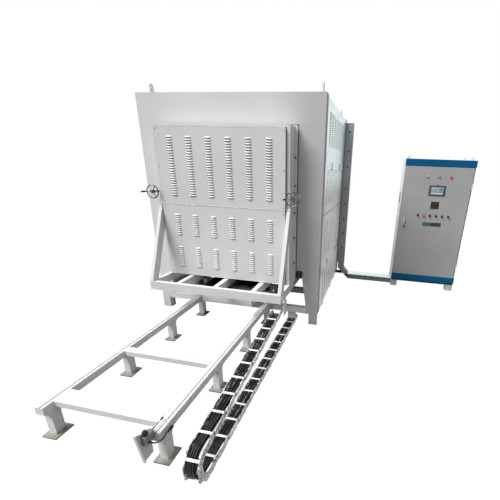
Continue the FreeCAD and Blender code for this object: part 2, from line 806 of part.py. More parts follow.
def doorClamps():
    """Handwheel screws in lugs on the door's sides, and their sockets on the front plate."""
    lugBack = -(s.flangeGap + s.flangeThick)
    lugs = []
    sockets = []
    for name, sign in (("left", -1), ("right", 1)):
        x = sign * clampReach
        edges = span(sign * frameHalf, sign * (clampReach + s.clampLug / 2))
        solid = block(f"{name}LugBlock", edges, (lugBack - s.clampLug, lugBack),
                      (clampHeight - s.clampLug / 2, clampHeight + s.clampLug / 2))
        bore = rod(f"{name}LugBore", s.clampScrew + s.boreClearance, s.clampLug * 3,
                   (x, lugBack - s.clampLug * 2, clampHeight), "Y")
        lugs.append(cut(f"{name}ClampLug", solid, bore))
        wheelY = -s.clampWheelSetback
        rim = turned(f"{name}Rim", ringSection(s.clampWheel, s.clampRim))
        rim.Placement.Rotation = FreeCAD.Rotation(FreeCAD.Vector(0, 0, 1), 90)
        place(rim, x, wheelY, clampHeight)
        hub = rod(f"{name}Hub", s.clampHub, s.clampHub * 2, (x, wheelY - s.clampHub, clampHeight), "Y")
        pieces = [rim, hub]
        for n in range(3):
            spoke = block(f"{name}Spoke{n}", (-s.clampSpoke, s.clampSpoke), (-s.clampSpoke / 2, s.clampSpoke / 2),
                          (0, s.clampWheel))
            spoke.Placement.Rotation = FreeCAD.Rotation(FreeCAD.Vector(0, 1, 0), 30 + 120 * n)
            swing = math.radians(30 + 120 * n)
            place(spoke, x - s.clampSpoke * round(math.cos(swing), 6), wheelY - s.clampSpoke / 2,
                  clampHeight + s.clampSpoke * round(math.sin(swing), 6))
            pieces.append(spoke)
        pieces.append(rod(f"{name}Grip", s.clampGripRadius, s.clampGrip,
                          (x - s.clampWheel, wheelY - s.clampGrip, clampHeight), "Y"))
        start = wheelY + s.clampHub
        pieces.append(rod(f"{name}Screw", s.clampScrew, -start - s.clampTipGap, (x, start, clampHeight), "Y"))
        keep(fuse(f"{name}Handwheel", *pieces), f"{name}_handwheel")
        boss = rod(f"{name}Boss", s.socketBore + s.socketWall, s.socketLength,
                   (x, -s.socketLength, clampHeight), "Y")
        hole = rod(f"{name}Socket", s.socketBore, s.socketLength * 3,
                   (x, -s.socketLength * 2, clampHeight), "Y")
        sockets.append(cut(f"{name}ClampSocket", boss, hole))
    keep(group("ClampLugs", lugs), "clamp_lugs")
    keep(group("ClampSockets", sockets), "clamp_sockets")


def bogieDrive():
    """Shaft-mounted gearbox on the front axle, its crosswise motor, their guard and the chain's bracket."""
    height = railTop + s.wheelRadius + s.wheelLift
    middle = s.deckMiddleBar / 2
    low = deckBottom - s.gearboxHeight
    box = block("Gearbox", (-middle, s.gearboxWidth - middle),
                (s.axleFront - s.gearboxFront, s.axleFront + s.gearboxBack), (low, deckBottom))
    motor = rod("Motor", s.motorRadius, s.motorLength,
                (s.gearboxWidth - middle, s.axleFront - s.motorForward, deckBottom - s.motorDrop), "X")
    bore = rod("GearboxBore", s.axleRadius + s.boreClearance, s.gearboxWidth * 3,
               (-s.gearboxWidth, s.axleFront, height), "X")
    keep(cut("Drive", fuse("DriveSolid", box, motor), bore), "drive_motor")
    wall = s.guardSheet
    across = (-s.guardLeft, s.guardRight)
    along = (s.axleFront - s.guardFront, s.axleFront + s.guardBack)
    guard = block("GuardOuter", across, along, (low - wall, deckBottom))
    room = block("GuardInner", (across[0] + wall, across[1] - wall), (along[0] + wall, along[1] - wall),
                 (low, deckBottom + wall))
    passage = rod("GuardPassage", s.guardHole, s.guardRight * 3, (-s.guardLeft * 2, s.axleFront, height), "X")
    keep(cut("OpenGuard", cut("Guard", guard, room), passage), "drive_guard")
    reach = chainCentre + s.chainInside / 2 + s.chainPlate * 2 + s.chainBracketClear
    back = -s.deckFront + s.chainBracketDepth
    top = s.deckTop - s.chainBracketThick
    strip = [(deckHalf, top), (deckHalf, s.deckTop - s.chainBracketSide),
             (reach, s.deckTop - s.chainBracketSide - (reach - deckHalf)),
             (reach, deckBottom - s.chainBracketDrop),
             (reach + s.chainBracketThick, deckBottom - s.chainBracketDrop),
             (reach + s.chainBracketThick, s.deckTop - s.chainBracketSide - (reach - deckHalf)),
             (deckHalf + s.chainBracketThick, s.deckTop - s.chainBracketSide + s.chainBracketThick / 2),
             (deckHalf + s.chainBracketThick, top)]
    keep(profile("ChainBracket", "XZ_Plane", [strip], s.chainBracketDepth, at=(0, -s.deckFront, 0),
                 reverse=True), "chain_bracket")


def endStop():
    """Stop bracket on the right rail's near end with the limit switch, its whip and its cord."""
    inner = railHalf - s.railWidth / 2
    tip = -s.railNearEnd
    front = tip - s.stopReach
    top = s.stopTop
    low = s.stopBottom
    sheetShape = [(tip + s.stopOverlap, railBottom), (tip + s.stopOverlap, railTop), (tip, railTop),
                  (front, top), (front + s.stopSlope, low), (tip, low), (tip, railBottom)]
    plate = profile("StopPlate", "YZ_Plane", [sheetShape], s.stopThick, at=(inner - s.stopThick, 0, 0))
    fold = profile("StopFold", "YZ_Plane",
                   [[(front, top), (front + s.stopThick, top), (front + s.stopSlope + s.stopThick, low),
                     (front + s.stopSlope, low)]], s.stopFlange + s.stopThick,
                   at=(inner - s.stopThick, 0, 0))
    keep(fuse("StopBracket", plate, fold), "stop_bracket")
    back = tip - s.switchSetback
    x = (inner, inner + s.switchWidth)
    case = block("SwitchCase", x, (back - s.switchDepth, back), (s.switchBottom, s.switchBottom + s.switchHeight))
    centre = inner + s.switchWidth / 2
    switchTop = s.switchBottom + s.switchHeight
    cap = rod("SwitchCap", s.capRadius, s.capRadius * 2, (centre, back - s.capSetback, switchTop), "Z")
    neckY = back - s.capSetback
    neckZ = s.switchBottom + s.neckRise
    neck = rod("SwitchNeck", s.neckRadius, s.neckLength, (inner + s.switchWidth, neckY, neckZ), "X")
    keep(fuse("LimitSwitch", case, cap, neck), "limit_switch")
    whipHeight = switchTop - s.whipRise
    whip = rod("Whip", s.whipRadius, s.whipLength, (centre, back, whipHeight), "Y")
    end = rod("WhipTip", s.whipTip, s.whipTip * 2, (centre, back + s.whipLength, whipHeight), "Y")
    keep(fuse("SpringWhip", whip, end), "spring_whip")
    outer = railHalf + s.railWidth / 2
    glandY = tip + s.glandSetback
    glandX = outer + s.glandRadius * math.cos(math.pi / 6)
    glandZ = railBottom + s.glandRise
    gland = prism("CordGland", 6, s.glandRadius, s.glandLength)
    flatDown = FreeCAD.Rotation(FreeCAD.Vector(0, 0, 1), 30)
    gland.Placement.Rotation = FreeCAD.Rotation(FreeCAD.Vector(1, 0, 0), -90).multiply(flatDown)
    keep(place(gland, glandX, glandY, glandZ), "cord_gland")
    cordRoute = [((inner + s.switchWidth + s.neckLength).value, neckY.value, neckZ.value),
                 (388, neckY.value, neckZ.value), (409, -1745, 217), (414, -1720, 219), (399, -1697, 215),
                 (glandX.value, -1678, glandZ.value), (glandX.value, glandY.value, glandZ.value)]
    feature = doc.addObject("Part::Feature", "LimitSwitchCord")
    feature.Shape = roundedRoute(cordRoute, s.cordRadius.value)
    keep(feature, "limit_switch_cord")


def roundedRoute(points, radius):
    """A tube of straight runs joined by tangent arcs."""
    corners = [FreeCAD.Vector(*point) for point in points]
    edges = []
    start = corners[0]
    for before, here, after in zip(corners, corners[1:], corners[2:]):
        into = (here - before).normalize()
        out = (after - here).normalize()
        turn = into.getAngle(out)
        run = min((here - before).Length, (after - here).Length)
        cutBack = run * 0.45
        bend = cutBack / math.tan(turn / 2)
        first = here - into * cutBack
        last = here + out * cutBack
        towards = (out - into).normalize()
        middle = here + towards * (bend / math.cos(turn / 2) - bend)
        edges.append(Part.makeLine(start, first))
        edges.append(Part.Arc(first, middle, last).toShape())
        start = last
        print("cord bend radius", round(bend, 1))
    edges.append(Part.makeLine(start, corners[-1]))
    spine = Part.Wire(edges)
    along = (corners[1] - corners[0]).normalize()
    side = along.cross(FreeCAD.Vector(0, 0, 1) if abs(along.z) < 0.9 else FreeCAD.Vector(1, 0, 0)).normalize()
    up = side.cross(along)
    corner = radius / math.cos(math.radians(22.5))
    section = [corners[0] + side * corner * math.cos(math.radians(22.5 + 45 * n))
               + up * corner * math.sin(math.radians(22.5 + 45 * n)) for n in range(8)]
    tube = spine.makePipeShell([Part.makePolygon(section + section[:1])], True, False)
    area = 2 * math.sqrt(2) * corner ** 2
    print("cord volume ratio", round(tube.Volume / (area * spine.Length), 4))
    return tube


def chainStations():
    """Hinge points of the drag chain in the YZ plane, from the floor's far end to the bogie's end."""
    pitch = s.chainPitch.value
    y = s.chainPitch.value * s.chainFloorLinks.value - s.chainBendDistance.value
    z = s.chainHeight.value / 2
    joints = int(s.chainBendJoints.value)
    step = (180 - s.chainRise.value) / joints
    headings = [180] * int(s.chainFloorLinks.value)
    headings += [180 - step * n for n in range(1, joints)]
    headings += [s.chainRise.value] * int(s.chainUpperLinks.value)
    points = [(y, z)]
    for heading in headings:
        angle = math.radians(heading)
        y += pitch * math.cos(angle)
        z += pitch * math.sin(angle)
        points.append((y, z))
    return points


def linkPlate(start, end, x):
    """One side plate: a bar with cut corners that reaches past its two hinge points."""
    tall = s.chainHeight.value / 2
    along = FreeCAD.Vector(0, end[0] - start[0], end[1] - start[1])
    length = along.Length
    along.normalize()
    up = FreeCAD.Vector(0, -along.z, along.y)
    origin = FreeCAD.Vector(x, start[0], start[1])
    corner = tall * 0.55
    shape = [(-tall, corner), (-corner, tall), (length + corner, tall), (length + tall, corner),
             (length + tall, -corner), (length + corner, -tall), (-corner, -tall), (-tall, -corner)]
    shape = [origin + along * a + up * b for a, b in shape]
    face = Part.Face(Part.makePolygon(shape + shape[:1]))
    return face.extrude(FreeCAD.Vector(s.chainPlate.value, 0, 0))


def dragChain():
    """Steel drag chain: overlapping inner and outer link plates, crossbars and the cables inside."""
    points = chainStations()
    inside = s.chainInside.value / 2
    thick = s.chainPlate.value
    centre = chainCentre.value
    plates = []
    bars = []
    for n, (start, end) in enumerate(zip(points, points[1:])):
        outerLink = n % 2
        offset = inside + (thick + s.chainPlateGap.value) * outerLink
        for x in (centre + offset, centre - offset - thick):
            plates.append(linkPlate(start, end, x))
        if not outerLink:
            bars.append(crossbar(start, end, centre, inside, 1))
            bars.append(crossbar(start, end, centre, inside, -1))
    cables = []
    floor = int(s.chainFloorLinks.value)
    bends = points[floor:floor + int(s.chainBendJoints.value)]
    for n in range(2):
        x = centre - inside + s.chainInside.value * (n + 0.5) / 2
        route = [(x, y, z) for y, z in [points[1]] + bends + [points[-2]]]
        cables.append(roundedRoute(route, cableRadius.value))
    for label, solids in (("chain_links", plates), ("chain_crossbars", bars), ("chain_cables", cables)):
        feature = doc.addObject("Part::Feature", label)
        feature.Shape = Part.makeCompound(solids)
        keep(feature, label)


def crossbar(start, end, centre, inside, side):
    """Flat bar across one face of the chain at the middle of a link."""
    along = FreeCAD.Vector(0, end[0] - start[0], end[1] - start[1])
    length = along.Length
    along.normalize()
    up = FreeCAD.Vector(0, along.z * side, -along.y * side)
    bar = s.chainBar.value / 2
    lift = s.chainHeight.value / 2 - s.chainBarThick.value
    corner = (FreeCAD.Vector(centre - inside, start[0], start[1]) + along * (length / 2 - bar) + up * lift)
    points = [corner, corner + along * bar * 2,
              corner + along * bar * 2 + up * s.chainBarThick.value, corner + up * s.chainBarThick.value]
    face = Part.Face(Part.makePolygon(points + points[:1]))
    return face.extrude(FreeCAD.Vector(inside * 2, 0, 0))


def trunking():
    """Cable trunking down the furnace's rear corner and along the floor to the cabinet."""
    x = half + s.trunkGap
    low = s.trunkBottom
    top = low + s.trunkWidth
    inner = x + s.trunkWidth
    bend = s.trunkElbow
    end = s.cabinetLeft
    route = [(x, s.trunkTop), (x, low + bend), (x + bend, low), (end, low), (end, top),
             (inner + bend - s.trunkWidth, top), (inner, top + bend - s.trunkWidth), (inner, s.trunkTop)]
    keep(profile("Trunking", "XZ_Plane", [route], s.trunkDepth, at=(0, trunkFront, 0), reverse=True),
         "cable_trunking")
    keep(block("Spacer", (half, x), (trunkFront, s.bodyDepth), (low + bend + s.trunkWidth, s.trunkTop)),
         "trunking_spacer")


def cabinet():
    """Control cabinet: case, bands, feet, mounting plate, eyebolts and hinges."""
    left = s.cabinetLeft
    right = left + s.cabinetWidth
    front = cabinetFront
    caseFront = front + s.doorThick
    back = front + s.cabinetDepth
    wall = s.cabinetSheet
    shell = block("CaseOuter", (left, right), (caseFront, back), (s.cabinetBottom, s.cabinetTop))
    room = block("CaseInner", (left + wall, right - wall), (caseFront - wall, back - wall),
                 (s.cabinetBottom + wall, s.cabinetTop - wall))
    axisX = right - s.hingeRadius
    axisY = front + s.hingeRadius
    low = s.kickBottom + s.kickHeight + s.doorEdgeGap
    high = s.cabinetTop - s.headerHeight - s.doorEdgeGap
    fixed = [cut("OpenCase", shell, room)]
    length = s.hingeLength
    for n, z in enumerate((low + length * 2, high - length * 4)):
        lower = rod(f"HingeLower{n}", s.hingeRadius, length, (axisX, axisY, z), "Z")
        pin = rod(f"HingePin{n}", s.hingePin, length, (axisX, axisY, z + length), "Z")
        tab = block(f"HingeTab{n}", (axisX - s.hingePin, right), (axisY, caseFront), (z, z + length))
        fixed.append(fuse(f"HingeFixed{n}", lower, pin, tab))
    keep(fuse("Case", *fixed), "cabinet_case")
    header = block("Header", (left, right), (front, caseFront), (s.cabinetTop - s.headerHeight, s.cabinetTop))
    kick = block("KickBand", (left, right), (front, caseFront), (s.kickBottom, s.kickBottom + s.kickHeight))
    keep(group("Bands", [header, kick]), "cabinet_bands")
    inset = s.mountingPlateInset
    plateBack = back - wall - s.mountingPlateGap
    plate = block("PlateSheet", (left + inset, right - inset), (plateBack - s.mountingPlateThick, plateBack),
                  (s.cabinetBottom + inset * 2, s.cabinetTop - inset * 2))
    studs = []
    feet = []
    eyes = []
    size = s.plinthSize
    for n, (x, y) in enumerate([(left, caseFront), (right - size, caseFront),
                                (left, back - size), (right - size, back - size)]):
        feet.append(block(f"PlinthFoot{n}", (x, x + size), (y, y + size), (0, s.cabinetBottom)))
        outer = prism(f"EyeOuter{n}", 16, s.eyeRadius + s.eyeBar, s.eyeBar * 2)
        inner = prism(f"EyeInner{n}", 16, s.eyeRadius - s.eyeBar, s.eyeBar * 6)
        bind(inner, "Placement.Base.z", -s.eyeBar * 2)
        eye = cut(f"Eye{n}", outer, inner)
        eye.Placement.Rotation = FreeCAD.Rotation(FreeCAD.Vector(1, 0, 0), 90)
        place(eye, x + size / 2, y + size / 2 + s.eyeBar, s.cabinetTop + s.eyeRadius + s.eyeBar * 2)
        shank = prism(f"EyeShank{n}", 16, s.eyeBar * 1.8, s.eyeBar * 1.6)
        place(shank, x + size / 2, y + size / 2, s.cabinetTop)
        eyes.append(fuse(f"Eyebolt{n}", eye, shank))
    for n, (x, z) in enumerate([(left + inset * 2, s.cabinetBottom + inset * 3),
                                (right - inset * 2, s.cabinetBottom + inset * 3),
                                (left + inset * 2, s.cabinetTop - inset * 3),
                                (right - inset * 2, s.cabinetTop - inset * 3)]):
        stud = s.mountingPlateThick * 3
        studs.append(block(f"PlateStud{n}", (x - stud, x + stud), (plateBack, plateBack + s.mountingPlateGap),
                           (z - stud, z + stud)))
    keep(fuse("MountingPlate", plate, *studs), "mounting_plate")
    keep(group("Plinth", feet), "cabinet_feet")
    keep(group("Eyebolts", eyes), "cabinet_eyebolts")


def cabinetDoor():
    """Cabinet door on two pin hinges, with the devices in it."""
    left = s.cabinetLeft
    right = left + s.cabinetWidth
    front = cabinetFront
    caseFront = front + s.doorThick
    low = s.kickBottom + s.kickHeight + s.doorEdgeGap
    high = s.cabinetTop - s.headerHeight - s.doorEdgeGap
    far = right - s.hingeRadius * 2 - s.hingeGap
    axisX = right - s.hingeRadius
    axisY = front + s.hingeRadius
    edge = left + s.doorEdgeGap
    leaf = block("CabinetLeaf", (edge, far), (front, caseFront - s.doorEdgeGap), (low, high))
    moving = [leaf]
    length = s.hingeLength
    for n, z in enumerate((low + length * 2, high - length * 4)):
        start = z + length + s.boreClearance
        sleeve = rod(f"HingeSleeve{n}", s.hingeRadius, length - s.boreClearance, (axisX, axisY, start), "Z")
        bore = rod(f"HingeBore{n}", s.hingePin + s.boreClearance, length * 3, (axisX, axisY, z), "Z")
        flap = block(f"HingeFlap{n}", (far, axisX), (axisY - s.hingePin / 2, axisY + s.hingePin / 2),
                     (start, z + length * 2))
        moving.append(cut(f"HingeMoving{n}", fuse(f"HingeKnuckle{n}", sleeve, flap), bore))
    keep(fuse("CabinetDoor", *moving), "cabinet_door")
    face = front
    x = left + s.panelLeft
    keep(block("Panel", (x, x + s.panelWidth), (face - s.panelProud, face),
               (s.panelBottom, s.panelBottom + s.panelHeight)), "touch_panel")
    middle = left + s.panelLeft + s.panelWidth / 2
    keep(block("Controller", (middle - s.controllerWidth / 2, middle + s.controllerWidth / 2),
               (face - s.panelProud, face), (s.controllerBottom, s.controllerBottom + s.controllerHeight)),
         "temperature_controller")
    lamps = [rod(f"Lamp{n}", s.lampRadius, s.lampProud, (middle + s.lampPitch * (n - 1), face - s.lampProud,
                                                        s.lampHeight), "Y") for n in range(3)]
    keep(group("Lamps", lamps), "pilot_lamps")
    knobs = [rod(f"Knob{n}", s.switchKnobRadius, s.switchKnobProud,
                 (left + s.knobFirst + s.knobPitch * n, face - s.switchKnobProud, s.knobHeight), "Y")
             for n in range(6)]
    keep(group("Knobs", knobs), "panel_switches")
    keep(block("LabelPlate", (middle - s.plateLabelWidth / 2, middle + s.plateLabelWidth / 2),
               (face - s.plateLabelThick, face), (s.plateLabelBottom, s.plateLabelBottom + s.plateLabelHeight)),
         "blank_label_plate")
    x = left + s.handleSetback
    wide = s.handleWidth / 2
    base = block("HandleBase", (x - wide, x + wide), (face - s.handleProud, face),
                 (s.handleBottom, s.handleBottom + s.handleHeight))
    lever = block("HandleLever", (x - wide * 0.6, x + wide * 0.6),
                  (face - s.handleProud - s.leverThick, face - s.handleProud),
                  (s.handleBottom + s.handleWidth, s.handleBottom + s.handleHeight - s.handleWidth / 4))
    keep(fuse("Handle", base, lever), "cabinet_handle")


furnaceFrame()
furnaceBase()
furnaceShell()
sideCovers()
liftingLugs()
track()
bogieDeck()
wheelsets()
door()
doorClamps()
bogieDrive()
endStop()
dragChain()
trunking()
cabinet()
cabinetDoor()
doc.recompute()

for thing in doc.Objects:
    if "Invalid" in thing.State or "Error" in thing.State:
        raise RuntimeError(f"{thing.Label} failed: {thing.State}")
for thing in parts:
    if thing.Shape.isNull() or not thing.Shape.isValid():
        raise RuntimeError(f"{thing.Label} has no valid shape")

os.makedirs("parts", exist_ok=True)
for thing in parts:
    thing.Shape.exportStep(f"parts/{thing.Label}.step")
print(len(parts), "sub-parts written")
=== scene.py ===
import json
import math
from functools import cached_property, partialmethod
from itertools import product

import bmesh
import bpy
from mathutils import Matrix, Vector


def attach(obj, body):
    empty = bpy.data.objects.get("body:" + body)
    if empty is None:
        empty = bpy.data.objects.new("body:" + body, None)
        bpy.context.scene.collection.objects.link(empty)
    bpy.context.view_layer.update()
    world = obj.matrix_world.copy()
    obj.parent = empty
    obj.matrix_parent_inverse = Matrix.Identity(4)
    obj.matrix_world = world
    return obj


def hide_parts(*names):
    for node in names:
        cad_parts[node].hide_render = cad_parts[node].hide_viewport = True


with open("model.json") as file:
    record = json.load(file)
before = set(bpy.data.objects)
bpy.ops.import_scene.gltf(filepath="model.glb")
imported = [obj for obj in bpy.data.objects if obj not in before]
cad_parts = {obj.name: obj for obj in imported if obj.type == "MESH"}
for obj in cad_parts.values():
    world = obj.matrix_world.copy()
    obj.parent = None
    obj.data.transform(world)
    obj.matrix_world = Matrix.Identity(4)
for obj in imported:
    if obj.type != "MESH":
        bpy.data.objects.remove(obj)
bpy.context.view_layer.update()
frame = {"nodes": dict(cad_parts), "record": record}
nodes = frame["nodes"]
scene = bpy.context.scene
mm = 0.001
hands = (("right", 1), ("left", -1))
print("frame loaded,", len(nodes), "nodes")


def linked(name, data):
    made = bpy.data.objects.new(name, data)
    scene.collection.objects.link(made)
    return made


def turn(degrees, axis):
    return Matrix.Rotation(math.radians(degrees), 4, axis)


def at(spot, turned=Matrix()):
    return Matrix.Translation(Vector(spot) * mm) @ turned


def circle(radius, count, start=0, sweep=360, closed=0):
    turns = [math.radians(start + sweep * n / count) for n in range(count + closed)]
    return [(radius * math.cos(angle), radius * math.sin(angle)) for angle in turns]


def evenly(first, last, count):
    return [first + (last - first) * n / (count - 1) for n in range(count)]


# camera at the photograph's angle

cameraSettings = {
    "place": (1.315, -2.728, 1.488), "look": (-0.1739, 0.9228, -0.3439), "right": (0.9795, 0.1983, 0.0366),
    "lens": 22.31, "sensor": 36.0, "shiftX": -0.127, "shiftY": 0.061, "reach": 60.0,
}


def makeCamera(place, look, right, lens, sensor, shiftX, shiftY, reach):
    data = bpy.data.cameras.new("photoCamera")
    data.sensor_width, data.lens, data.clip_end = sensor, lens, reach
    data.shift_x, data.shift_y = shiftX, shiftY
    look, right = Vector(look).normalized(), Vector(right).normalized()
    turned = Matrix((right, right.cross(look), -look)).transposed().to_4x4()
    scene.camera = linked("photoCamera", data)
    scene.camera.matrix_world = Matrix.Translation(place) @ turned


makeCamera(**cameraSettings)


# the limit switch's cord comes next, so that its route is settled early

cordSettings = {
    "route": [(365, -1759, 208), (388, -1759, 208), (409, -1745, 217), (414, -1720, 219),
              (399, -1697, 215), (385.93, -1678, 184), (385.93, -1638, 184)],
    "radius": 3.5, "length": 0.171,
}


def drawn(name, lines, depth, roundness, steps, caps=True):
    data = bpy.data.curves.new(name, "CURVE")
    data.dimensions = "3D"
    data.bevel_depth = depth  # a point's radius multiplies it
    data.bevel_resolution, data.resolution_u, data.use_fill_caps = roundness, steps, caps
    for points, radius in lines:
        line = data.splines.new("NURBS")
        line.points.add(len(points) - 1)
        for point, place in zip(line.points, points):
            point.co = (*(Vector(place) * mm), 1.0)
            point.radius = radius
        line.order_u = 3
        line.use_endpoint_u = True
    return linked(name, data)


route, radius = cordSettings["route"], cordSettings["radius"]
switchCord = drawn("limitSwitchCord", [(route, radius * mm)], 1.0, 4, 12)
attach(switchCord, "furnace")
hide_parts("limit_switch_cord")
print("camera and cord made")


# sockets that add and multiply, and one method that adds any node

class Wire:
    def __init__(self, finish, socket):
        self.finish = finish
        self.socket = socket

    def maths(self, operation, other=None, swapped=False):
        pair = [self] if other is None else [other, self] if swapped else [self, other]
        return self.finish.add("Math", dict(enumerate(pair)), operation=operation)

    __add__, __radd__ = partialmethod(maths, "ADD"), partialmethod(maths, "ADD", swapped=True)
    __sub__, __rsub__ = partialmethod(maths, "SUBTRACT"), partialmethod(maths, "SUBTRACT", swapped=True)
    __mul__, __rmul__ = partialmethod(maths, "MULTIPLY"), partialmethod(maths, "MULTIPLY", swapped=True)
    __truediv__, __gt__ = partialmethod(maths, "DIVIDE"), partialmethod(maths, "GREATER_THAN")

    def part(self, axis):
        return self.finish.add("SeparateXYZ", {0: self}, axis)

    def band(self, low, high):
        return self.finish.add("MapRange", {"Value": self, "From Min": low, "From Max": high},
                               interpolation_type="SMOOTHSTEP", clamp=True)


def tint(red, green, blue):
    shares = [value / 255 for value in (red, green, blue)]
    return (*(x / 12.92 if x <= 0.04045 else ((x + 0.055) / 1.055) ** 2.4 for x in shares), 1.0)


class Finish:
    def __init__(self, name, owner=None):
        self.material = owner or bpy.data.materials.new(name)
        self.material.use_nodes = True
        self.tree = self.material.node_tree
        self.tree.nodes.clear()

    def add(self, kind, sockets, output=0, **settings):
        made = self.tree.nodes.new("ShaderNode" + kind)
        for key, value in settings.items():
            setattr(made, key, value)
        for key, value in sockets.items():
            if isinstance(value, Wire):
                self.tree.links.new(value.socket, made.inputs[key])
            else:
                made.inputs[key].default_value = value
        return Wire(self, made.outputs[output]) if made.outputs else None

    @cached_property
    def place(self):
        return self.add("TexCoord", {}, "Object")

    def axis(self, axis):
        return self.place.part(axis)

    def noise(self, scale, detail=4.0, rough=0.55, vector=None):
        return self.add("TexNoise", {"Vector": vector or self.place, "Scale": scale, "Detail": detail,
                                     "Roughness": rough})

    def streaks(self, scale, detail=3.0, rough=0.6):
        return self.noise(1.0, detail, rough, self.add("Mapping", {"Vector": self.place, "Scale": scale}))

    def tiles(self, across, up, wide, tall, gap, smooth, offset, shades):
        colours = {key: (shade, shade, shade, 1) for key, shade in zip(("Color1", "Color2", "Mortar"), shades)}
        made = self.add("TexBrick", {
            "Vector": self.add("CombineXYZ", {0: across, 1: up}), "Scale": 1.0, "Brick Width": wide,
            "Row Height": tall, "Mortar Size": gap, "Mortar Smooth": smooth, **colours}, "Color", offset=offset)
        return made.part(0), Wire(self, made.socket.node.outputs["Fac"])

    def blend(self, factor, first, second):
        first, second = (value if isinstance(value, Wire) else tint(*value) for value in (first, second))
        return self.add("Mix", {0: factor, 6: first, 7: second}, 2, data_type="RGBA", clamp_factor=True)

    def bump(self, height, distance):
        return self.add("Bump", {"Height": height, "Distance": distance})

    def surface(self, **sockets):
        shader = self.add("BsdfPrincipled", {key.replace("_", " "): tint(*value) if isinstance(value, tuple) else value
                                             for key, value in sockets.items()})
        self.add("OutputMaterial", {"Surface": shader})
        return self.material

    def seen(self):  # what the camera, metal and glass look at
        share = self.add("LightPath", {}, "Is Camera Ray")
        outputs = share.socket.node.outputs
        for ray in ("Is Glossy Ray", "Is Transmission Ray"):
            share = share.maths("MAXIMUM", Wire(self, outputs[ray]))
        return share


# paints: slow shade changes, faint runs down the sheet, dust near the floor, orange peel

paints = {  # colour, shade, dust, top of the dust, roughness, peel, gloss
    "framePaint": ((219, 219, 218), (212, 212, 211), (176, 172, 164), 0.22, 0.42, 0.00012, 0.45),
    "trackPaint": ((220, 221, 221), (210, 211, 211), (100, 92, 84), 0.03, 0.46, 0.00016, 0.45),
    # the cabinet door's paint is darker than the case's: painted shade on the door of a cabinet that is one light grey
    "cabinetPaint": ((172, 172, 171), (164, 164, 164), (134, 132, 128), 0.30, 0.50, 0.00022, 0.35),
    "casePaint": ((226, 230, 228), (218, 222, 220), (170, 168, 162), 0.10, 0.46, 0.00020, 0.45),
    "bluePaint": ((0, 96, 144), (0, 86, 132), (40, 86, 116), 0.16, 0.42, 0.00018, 0.12),
    "drivePaint": ((58, 62, 66), (40, 43, 47), (88, 84, 78), 0.36, 0.48, 0.00020, 0.30),
    "trunkPaint": ((172, 173, 175), (160, 162, 165), (108, 104, 98), 0.16, 0.45, 0.00014, 0.30),
}
# the first two colours here are painted shade on the front frame: on its folded side returns and on the plate right of
# the door
paintDetails = {
    "returns": (64, 64, 65), "returnsFrom": 0.8495, "dull": (190, 190, 190), "dullBand": (0.30, 0.80), "dirt": 0.55,
    "trackDirt": 0.9, "sole": (132, 126, 118), "soleBand": (0.0083, 0.0090), "soleEdge": (62, 54, 46),
    "soleEdgeBand": (0.0068, 0.0078),
}


def paint(name, colour, shade, dust, dustTop, rough, peel, gloss, details=paintDetails):
    finish = Finish(name)
    height = finish.axis(2)
    cloud = finish.noise(1.7, 5.0).band(0.35, 0.68)
    runs = finish.streaks((26, 26, 0.9)).band(0.55, 0.80)
    speck = finish.noise(240.0, 2.0).band(0.62, 0.80)
    dusty = (1.0 - height.band(dustTop * 0.3, dustTop)) * finish.noise(14.0, 5.0).band(0.30, 0.75)
    dirt = details["trackDirt" if name == "trackPaint" else "dirt"]
    mixed = finish.blend(runs * 0.35, finish.blend(cloud, colour, shade), shade)
    mixed = finish.blend(speck * 0.12 + dusty * dirt, mixed, dust)
    if name == "trackPaint":  # the sole plates are bare and stained, darkest at their cut edges
        for key, share in (("sole", 0.85), ("soleEdge", 0.8)):
            mixed = finish.blend((1.0 - height.band(*details[key + "Band"])) * share, mixed, details[key])
    if name == "framePaint":  # painted shade: the folded side returns are painted dark, as shade on faces turned from the light
        side = finish.axis(0).maths("ABSOLUTE") > details["returnsFrom"]
        mixed = finish.blend(side * 0.9, mixed, details["returns"])
        front = 1.0 - (finish.axis(1).maths("ABSOLUTE") > 0.002)  # the front plate lies at y = 0
        # painted shade: the front plate turns darker towards its right, beside and beyond the door
        mixed = finish.blend(finish.axis(0).band(*details["dullBand"]) * front, mixed, details["dull"])
    return finish.surface(Base_Color=mixed, Roughness=cloud * 0.08 + dusty * 0.25 + rough,
                          Normal=finish.bump(finish.noise(420.0, 2.0, 0.5), peel), Specular_IOR_Level=gloss)


# bare and plated metals: a tone, a second tone in patches, and fine brushing

metals = {  # colour, shade, metallic, roughness, patches, brushing, grain
    "coverSheet": ((192, 195, 195), (180, 184, 184), 0.72, 0.34, 34.0, (3, 3, 160), 0.00005),
    "wheelSteel": ((120, 118, 114), (82, 80, 78), 0.85, 0.38, 18.0, (300, 40, 40), 0.00012),
    # brightWheel: chrome painted dark with dark patches, a painted reflection of dark surroundings
    "brightWheel": ((128, 126, 124), (56, 55, 54), 1.0, 0.16, 30.0, (90, 90, 90), 0.00002),
    "chainZinc": ((222, 224, 224), (74, 77, 79), 0.60, 0.42, 60.0, (60, 12, 60), 0.00008),
    "barAluminium": ((240, 241, 240), (224, 226, 226), 0.15, 0.42, 25.0, (10, 220, 220), 0.00005),
    "platedSteel": ((198, 200, 200), (160, 163, 165), 0.85, 0.30, 55.0, (120, 120, 12), 0.00005),
    "darkSteel": ((74, 74, 76), (48, 48, 50), 0.60, 0.40, 80.0, (200, 200, 200), 0.00004),
    "castZinc": ((146, 148, 148), (110, 113, 114), 0.50, 0.46, 120.0, (260, 260, 260), 0.00020),
    "brass": ((150, 126, 104), (116, 96, 80), 0.70, 0.34, 90.0, (240, 240, 40), 0.00005),
    "lidZinc": ((234, 244, 244), (218, 232, 234), 0.90, 0.34, 22.0, (6, 90, 90), 0.00010),
    "plateZinc": ((196, 198, 196), (180, 183, 182), 0.45, 0.40, 26.0, (8, 90, 90), 0.00004),
    "hearthIron": ((96, 84, 76), (66, 56, 52), 0.35, 0.72, 9.0, (70, 70, 70), 0.0012),
}
